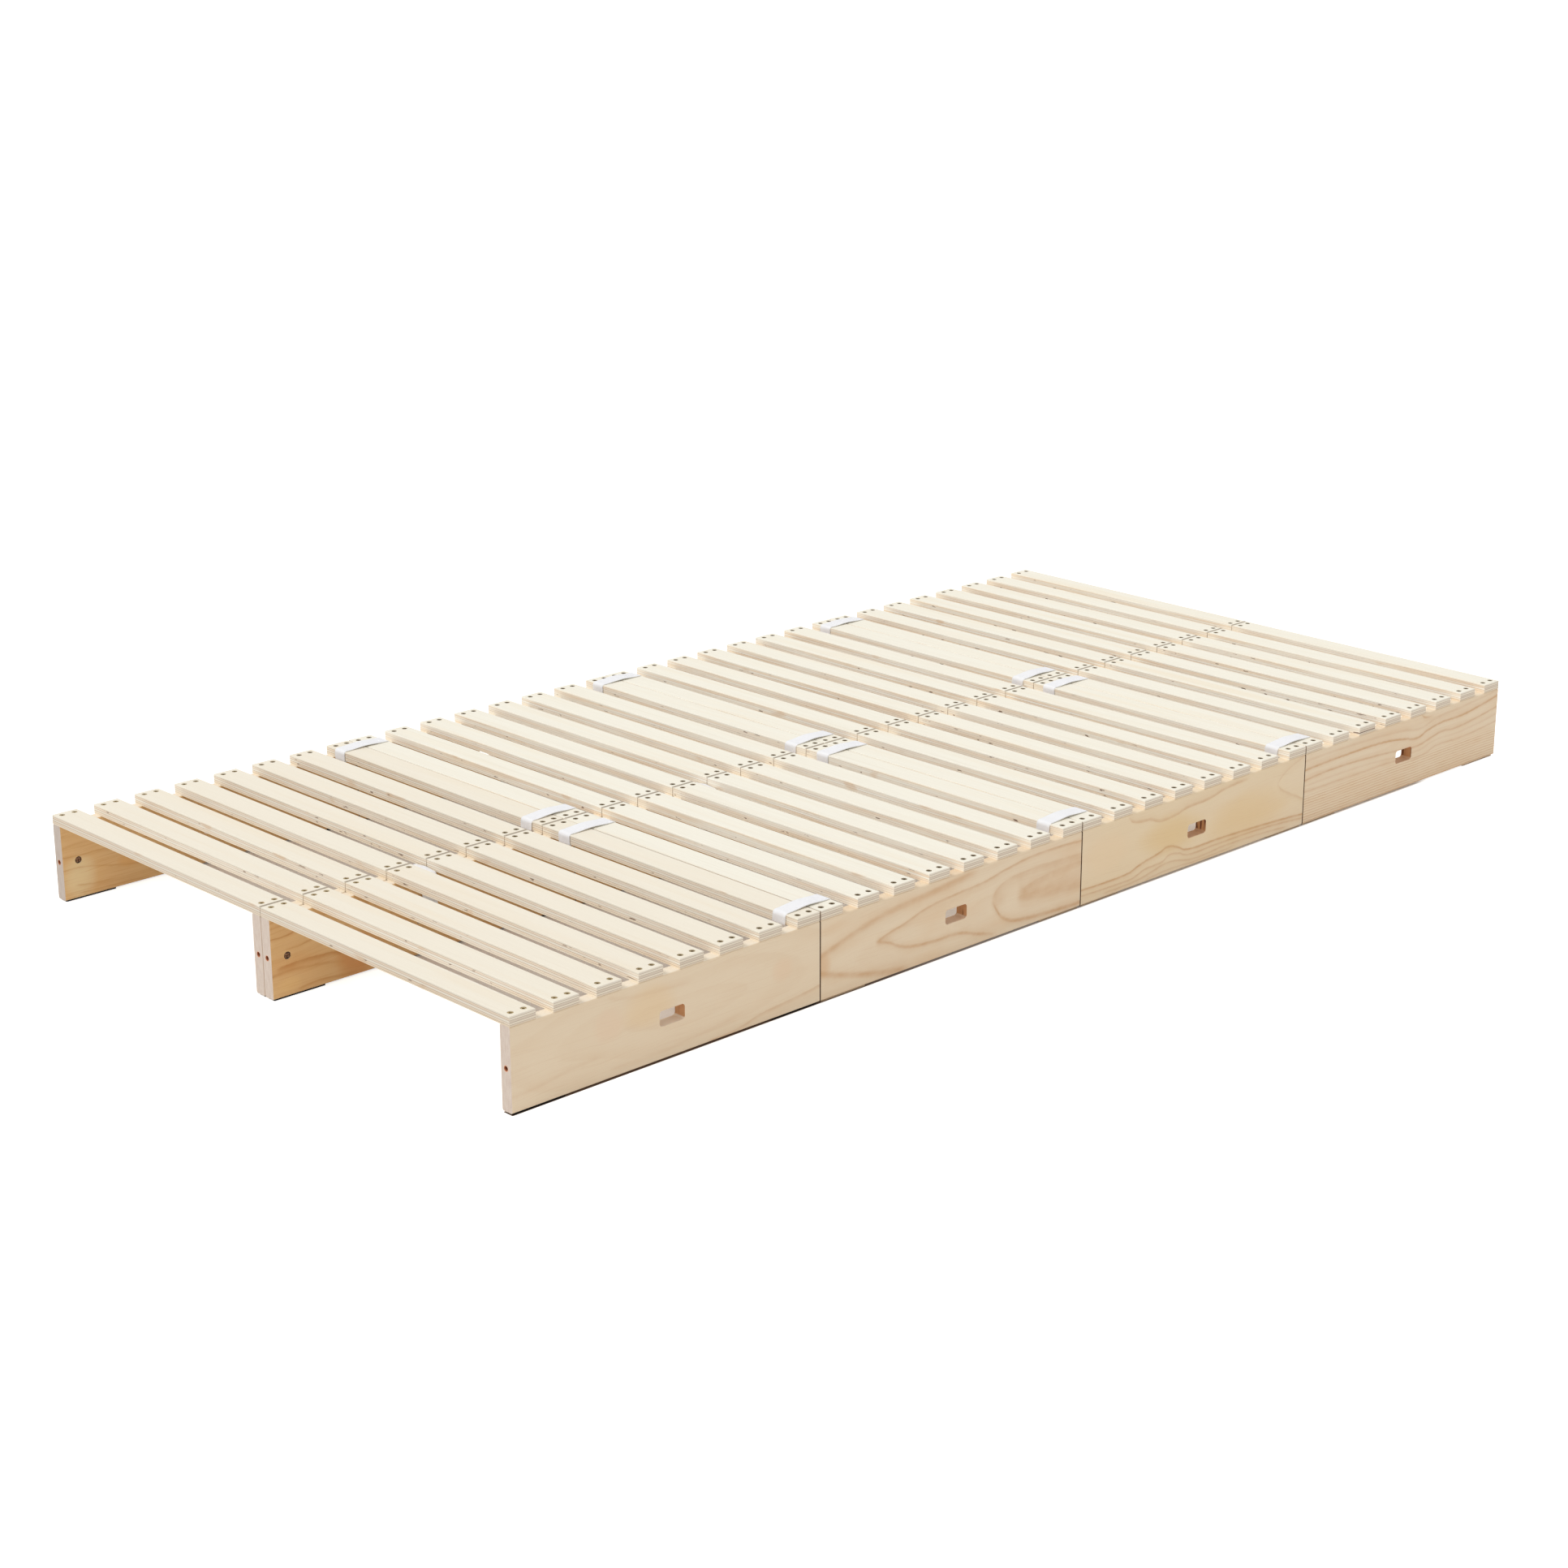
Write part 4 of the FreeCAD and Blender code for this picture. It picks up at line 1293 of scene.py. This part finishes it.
@dataclass
class RowLoops:
    """Two webbing loops that tie a pallet to the next one in its column.

    Each loop goes round the last slat of one row and the first slat of the next. It hugs the
    slats at its ends and stands a little off them over the joint.
    """

    row: int
    side: Side
    width: float = 23.0 * MM
    thick: float = 1.5 * MM
    low_round: float = 1.3 * MM
    high_round: float = 4.6 * MM
    rest: float = 0.25 * MM
    bend_half: float = 5.0 * MM
    slat_top: float = 122.0 * MM
    crowns: tuple[float, float] = (1.7 * MM, 2.0 * MM)
    skews: tuple[float, float] = (0.6 * MM, -0.8 * MM)
    bend_share: float = 0.14
    outer_share: float = 0.16
    bend_steps: int = 23
    outer_steps: int = 16

    @property
    def node(self) -> str:
        """Name of the CAD node that the loops stand for."""
        return f"strap_loops_rows_{self.row}_{self.row + 1}_{self.side.value}"

    def shares(self) -> np.ndarray:
        """Spread the top's points, closer together where the joint bends them.

        Returns:
            Their places, from -1 to 1.
        """
        bend = np.linspace(-self.bend_share, self.bend_share, self.bend_steps)
        outer = np.linspace(self.outer_share, 1.0, self.outer_steps)
        return np.concatenate([-outer[::-1], bend, outer])

    def build(self, material: bpy.types.Material) -> bpy.types.Object:
        """Build both loops as one piece, inside the places of their CAD solids.

        Args:
            material: The webbing.

        Returns:
            The piece.
        """
        low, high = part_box(self.node)
        joint = (low[1] + high[1]) / 2
        half = (high[1] - low[1] - self.thick) / 2
        base = low[2] + self.thick / 2
        top = self.slat_top + self.rest + self.thick / 2
        band = Band(self.width, self.thick)
        middles = (low[0] + self.width / 2, high[0] - self.width / 2)
        points, quads, corners = [], [], []
        count = 0
        for middle, crown, skew in zip(middles, self.crowns, self.skews):
            path = Loop(half, base, top, self.low_round, self.high_round, crown).path(
                self.shares())
            over_slats = np.clip((path[:, 1] - base) / (self.slat_top - base), 0.0, 1.0)
            sway = middle + skew * path[:, 0] / half * over_slats
            ring, faces, map_corners = band.surface(path, sway)
            ring[:, 1] += joint
            points.append(ring)
            quads.append(faces + count)
            corners.append(map_corners)
            count += len(ring)
        name = f"webbing_rows_{self.row}_{self.row + 1}_{self.side.value}"
        piece = make_piece(name, np.concatenate(points), np.concatenate(quads),
                           np.concatenate(corners), material)
        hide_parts(self.node)
        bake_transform(piece)
        LOG.info("built %s, %d points", name, count)
        return piece


@dataclass
class CentreStrap:
    """The webbing loop over the two middle rails of a row, and back through their holes."""

    row: int
    thick: float = 1.5 * MM
    rail_top: float = 109.0 * MM
    rest: float = 0.2 * MM
    crown: float = 1.6 * MM
    corner_round: float = 5.0 * MM
    waist: float = 1.6 * MM
    top_steps: int = 25
    corner_steps: int = 7
    side_steps: int = 11

    def build(self, material: bpy.types.Material) -> bpy.types.Object:
        """Build the loop inside the place of its CAD solid.

        Args:
            material: The webbing.

        Returns:
            The piece, which rides on its row.
        """
        node = f"centre_strap_row_{self.row}"
        low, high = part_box(node)
        half = (high[0] - low[0] - self.thick) / 2
        top = self.rail_top + self.thick / 2 + self.rest
        loop = Loop(half, low[2] + self.thick / 2, top, self.corner_round, self.corner_round,
                    self.crown, self.waist, self.corner_steps, self.corner_steps,
                    self.side_steps)
        path = loop.path(np.linspace(-1.0, 1.0, self.top_steps))
        band = Band(high[1] - low[1], self.thick)
        ring, quads, corners = band.surface(path, np.full(len(path), (low[1] + high[1]) / 2))
        points = ring[:, [1, 0, 2]]
        name = f"webbing_centre_row_{self.row}"
        piece = make_piece(name, points, quads, corners, material)
        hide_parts(node)
        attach(piece, f"row_{self.row}")
        LOG.info("built %s, %d points", name, len(points))
        return piece


@dataclass
class Studio:
    """A pale floor, a white surround, one soft lamp and the camera."""

    eye: Point = (2.986298, -2.920410, 1.426944)
    turn: Point = (71.870562, 0.129342, 46.422331)
    lens: float = 69.1349
    sensor: float = 36.0
    view_reach: float = 200.0
    white: Colour = (1.0, 1.0, 1.0, 1.0)
    floor_half: float = 40.0
    floor_drop: float = 0.5 * MM
    floor_grey: Colour = (0.86, 0.86, 0.86, 1.0)
    floor_glow: float = 0.55
    foot_half: float = 493.5 * MM
    rail_thick: float = 18.0 * MM
    foot_edge: float = 1.0 * MM
    # Colours of the floor's painted shade: under the bed, paler by the right rail, and darkest
    # under it.
    shade_tint: Colour = (0.76, 0.67, 0.59, 1.0)
    shade_glow: float = 0.13
    pale_shade_tint: Colour = (1.0, 0.91, 0.84, 1.0)
    pale_from: float = 0.23
    pale_to: float = 0.38
    cover_reach: float = 0.25
    under_rail_shadow: Colour = (0.22, 0.15, 0.11, 1.0)
    ends_glow: float = 0.30
    foot_near: float = -0.787
    foot_far: float = 0.79
    foot_end: float = 0.980
    foot_fade: float = 0.02
    sky_light: float = 0.72
    lamp_strength: float = 1.10
    lamp_turn: Point = (37.0, 0.0, -12.0)
    lamp_angle: float = 22.0

    def put(self, data: bpy.types.ID, place: Point = (0.0, 0.0, 0.0),
            turn: Point = (0.0, 0.0, 0.0)) -> bpy.types.Object:
        """Put a mesh, lamp or camera into the scene.

        Args:
            data: What to put there.
            place: Its place, in metres.
            turn: Its turn about each axis, in degrees.

        Returns:
            The new object.
        """
        thing = bpy.data.objects.new(data.name, data)
        thing.location = place
        thing.rotation_euler = [math.radians(angle) for angle in turn]
        bpy.context.scene.collection.objects.link(thing)
        return thing

    def lay_floor(self) -> None:
        """Lay a wide plain floor that looks white and keeps the bed's shadow.

        Its colour for the camera is painted with shade between the outer rails, from a pallet's
        half to the last row, a little paler beside the right rail, and darkest right under that
        rail. Only floor with timber close above it gets this painted shade, so it goes when a
        row is lifted.
        """
        graph = Graph("floor")
        x, y, _ = graph.axes("Object")
        seen = graph.seen()
        edge = self.foot_edge
        inside = 1.0 - x.size().above(self.foot_half - edge, self.foot_half)
        near = y.above(self.foot_near - self.foot_fade, self.foot_near + self.foot_fade)
        far = 1.0 - y.above(self.foot_far - self.foot_fade, self.foot_far + self.foot_fade)
        along = 1.0 - y.size().above(self.foot_end - edge, self.foot_end)
        rail_inside = self.foot_half - self.rail_thick
        under_rail = inside * along * x.above(rail_inside, rail_inside + edge)
        under_rail = under_rail * (1.0 - y.above(-self.foot_end / 2, self.foot_end / 2))
        cover = graph.node("ShaderNodeAmbientOcclusion", {"Distance": self.cover_reach},
                           samples=8)
        covered = (1.0 - Number(graph, cover.outputs["AO"])).above(0.10, 0.30)
        shade, under_rail = inside * near * far * covered, under_rail * covered

        # Painted shade on the floor, for the camera only: a tint under the bed, paler by the right
        # rail, and a dark line under it.
        tint = graph.mix(x.above(self.pale_from, self.pale_to), self.shade_tint, self.pale_shade_tint)
        grey = graph.mix(shade * seen, self.floor_grey, tint)
        grey = graph.mix(under_rail * seen, grey, self.under_rail_shadow)
        diffuse = graph.node("ShaderNodeBsdfDiffuse", {"Color": grey})
        dark = graph.calc("MAXIMUM", shade * (1.0 - self.shade_glow), under_rail)
        ends = (1.0 - near * far) * self.ends_glow + 1.0
        glow = graph.node("ShaderNodeEmission",
                          {"Strength": seen * (1.0 - dark) * ends * self.floor_glow})
        graph.close(graph.node("ShaderNodeAddShader",
                               {0: diffuse.outputs[0], 1: glow.outputs[0]}))
        half, level = self.floor_half, -self.floor_drop
        mesh = bpy.data.meshes.new("floor")
        mesh.from_pydata([(-half, -half, level), (half, -half, level), (half, half, level),
                          (-half, half, level)], [], [(0, 1, 2, 3)])
        mesh.materials.append(graph.owner)
        floor = self.put(mesh)

    def light(self) -> None:
        """Light the bed from all round, and a little more from the front and above."""
        graph = Graph("surround", "World")
        strength = graph.seen() * (1.0 - self.sky_light) + self.sky_light
        graph.close(graph.node("ShaderNodeBackground",
                               {"Color": self.white, "Strength": strength}))
        bpy.context.scene.world = graph.owner
        lamp = bpy.data.lights.new("soft_lamp", "SUN")
        lamp.energy = self.lamp_strength
        lamp.angle = math.radians(self.lamp_angle)
        self.put(lamp, turn=self.lamp_turn)

    def place_camera(self) -> None:
        """Place the camera at the photograph's viewpoint."""
        data = bpy.data.cameras.new("camera")
        data.lens = self.lens
        data.sensor_width = self.sensor
        data.clip_end = self.view_reach
        bpy.context.scene.camera = self.put(data, self.eye, self.turn)

    def set_up(self) -> None:
        """Set up the floor, the light, the camera and the plain colour transform."""
        self.lay_floor()
        self.light()
        self.place_camera()
        bpy.context.scene.view_settings.view_transform = "Standard"


def main() -> None:
    """Dress the timber and fittings, build the webbing and set up the studio."""
    logging.basicConfig(level=logging.INFO)
    timber = Timber()
    timber.dress_slats()
    timber.dress_rails()
    Fittings().dress_all()
    webbing = Webbing().material()
    for row in ROWS[:-1]:
        for side in Side:
            RowLoops(row, side).build(webbing)
    for row in ROWS[:2]:
        CentreStrap(row).build(webbing)
    Studio().set_up()


if __name__ == "__main__":
    main()
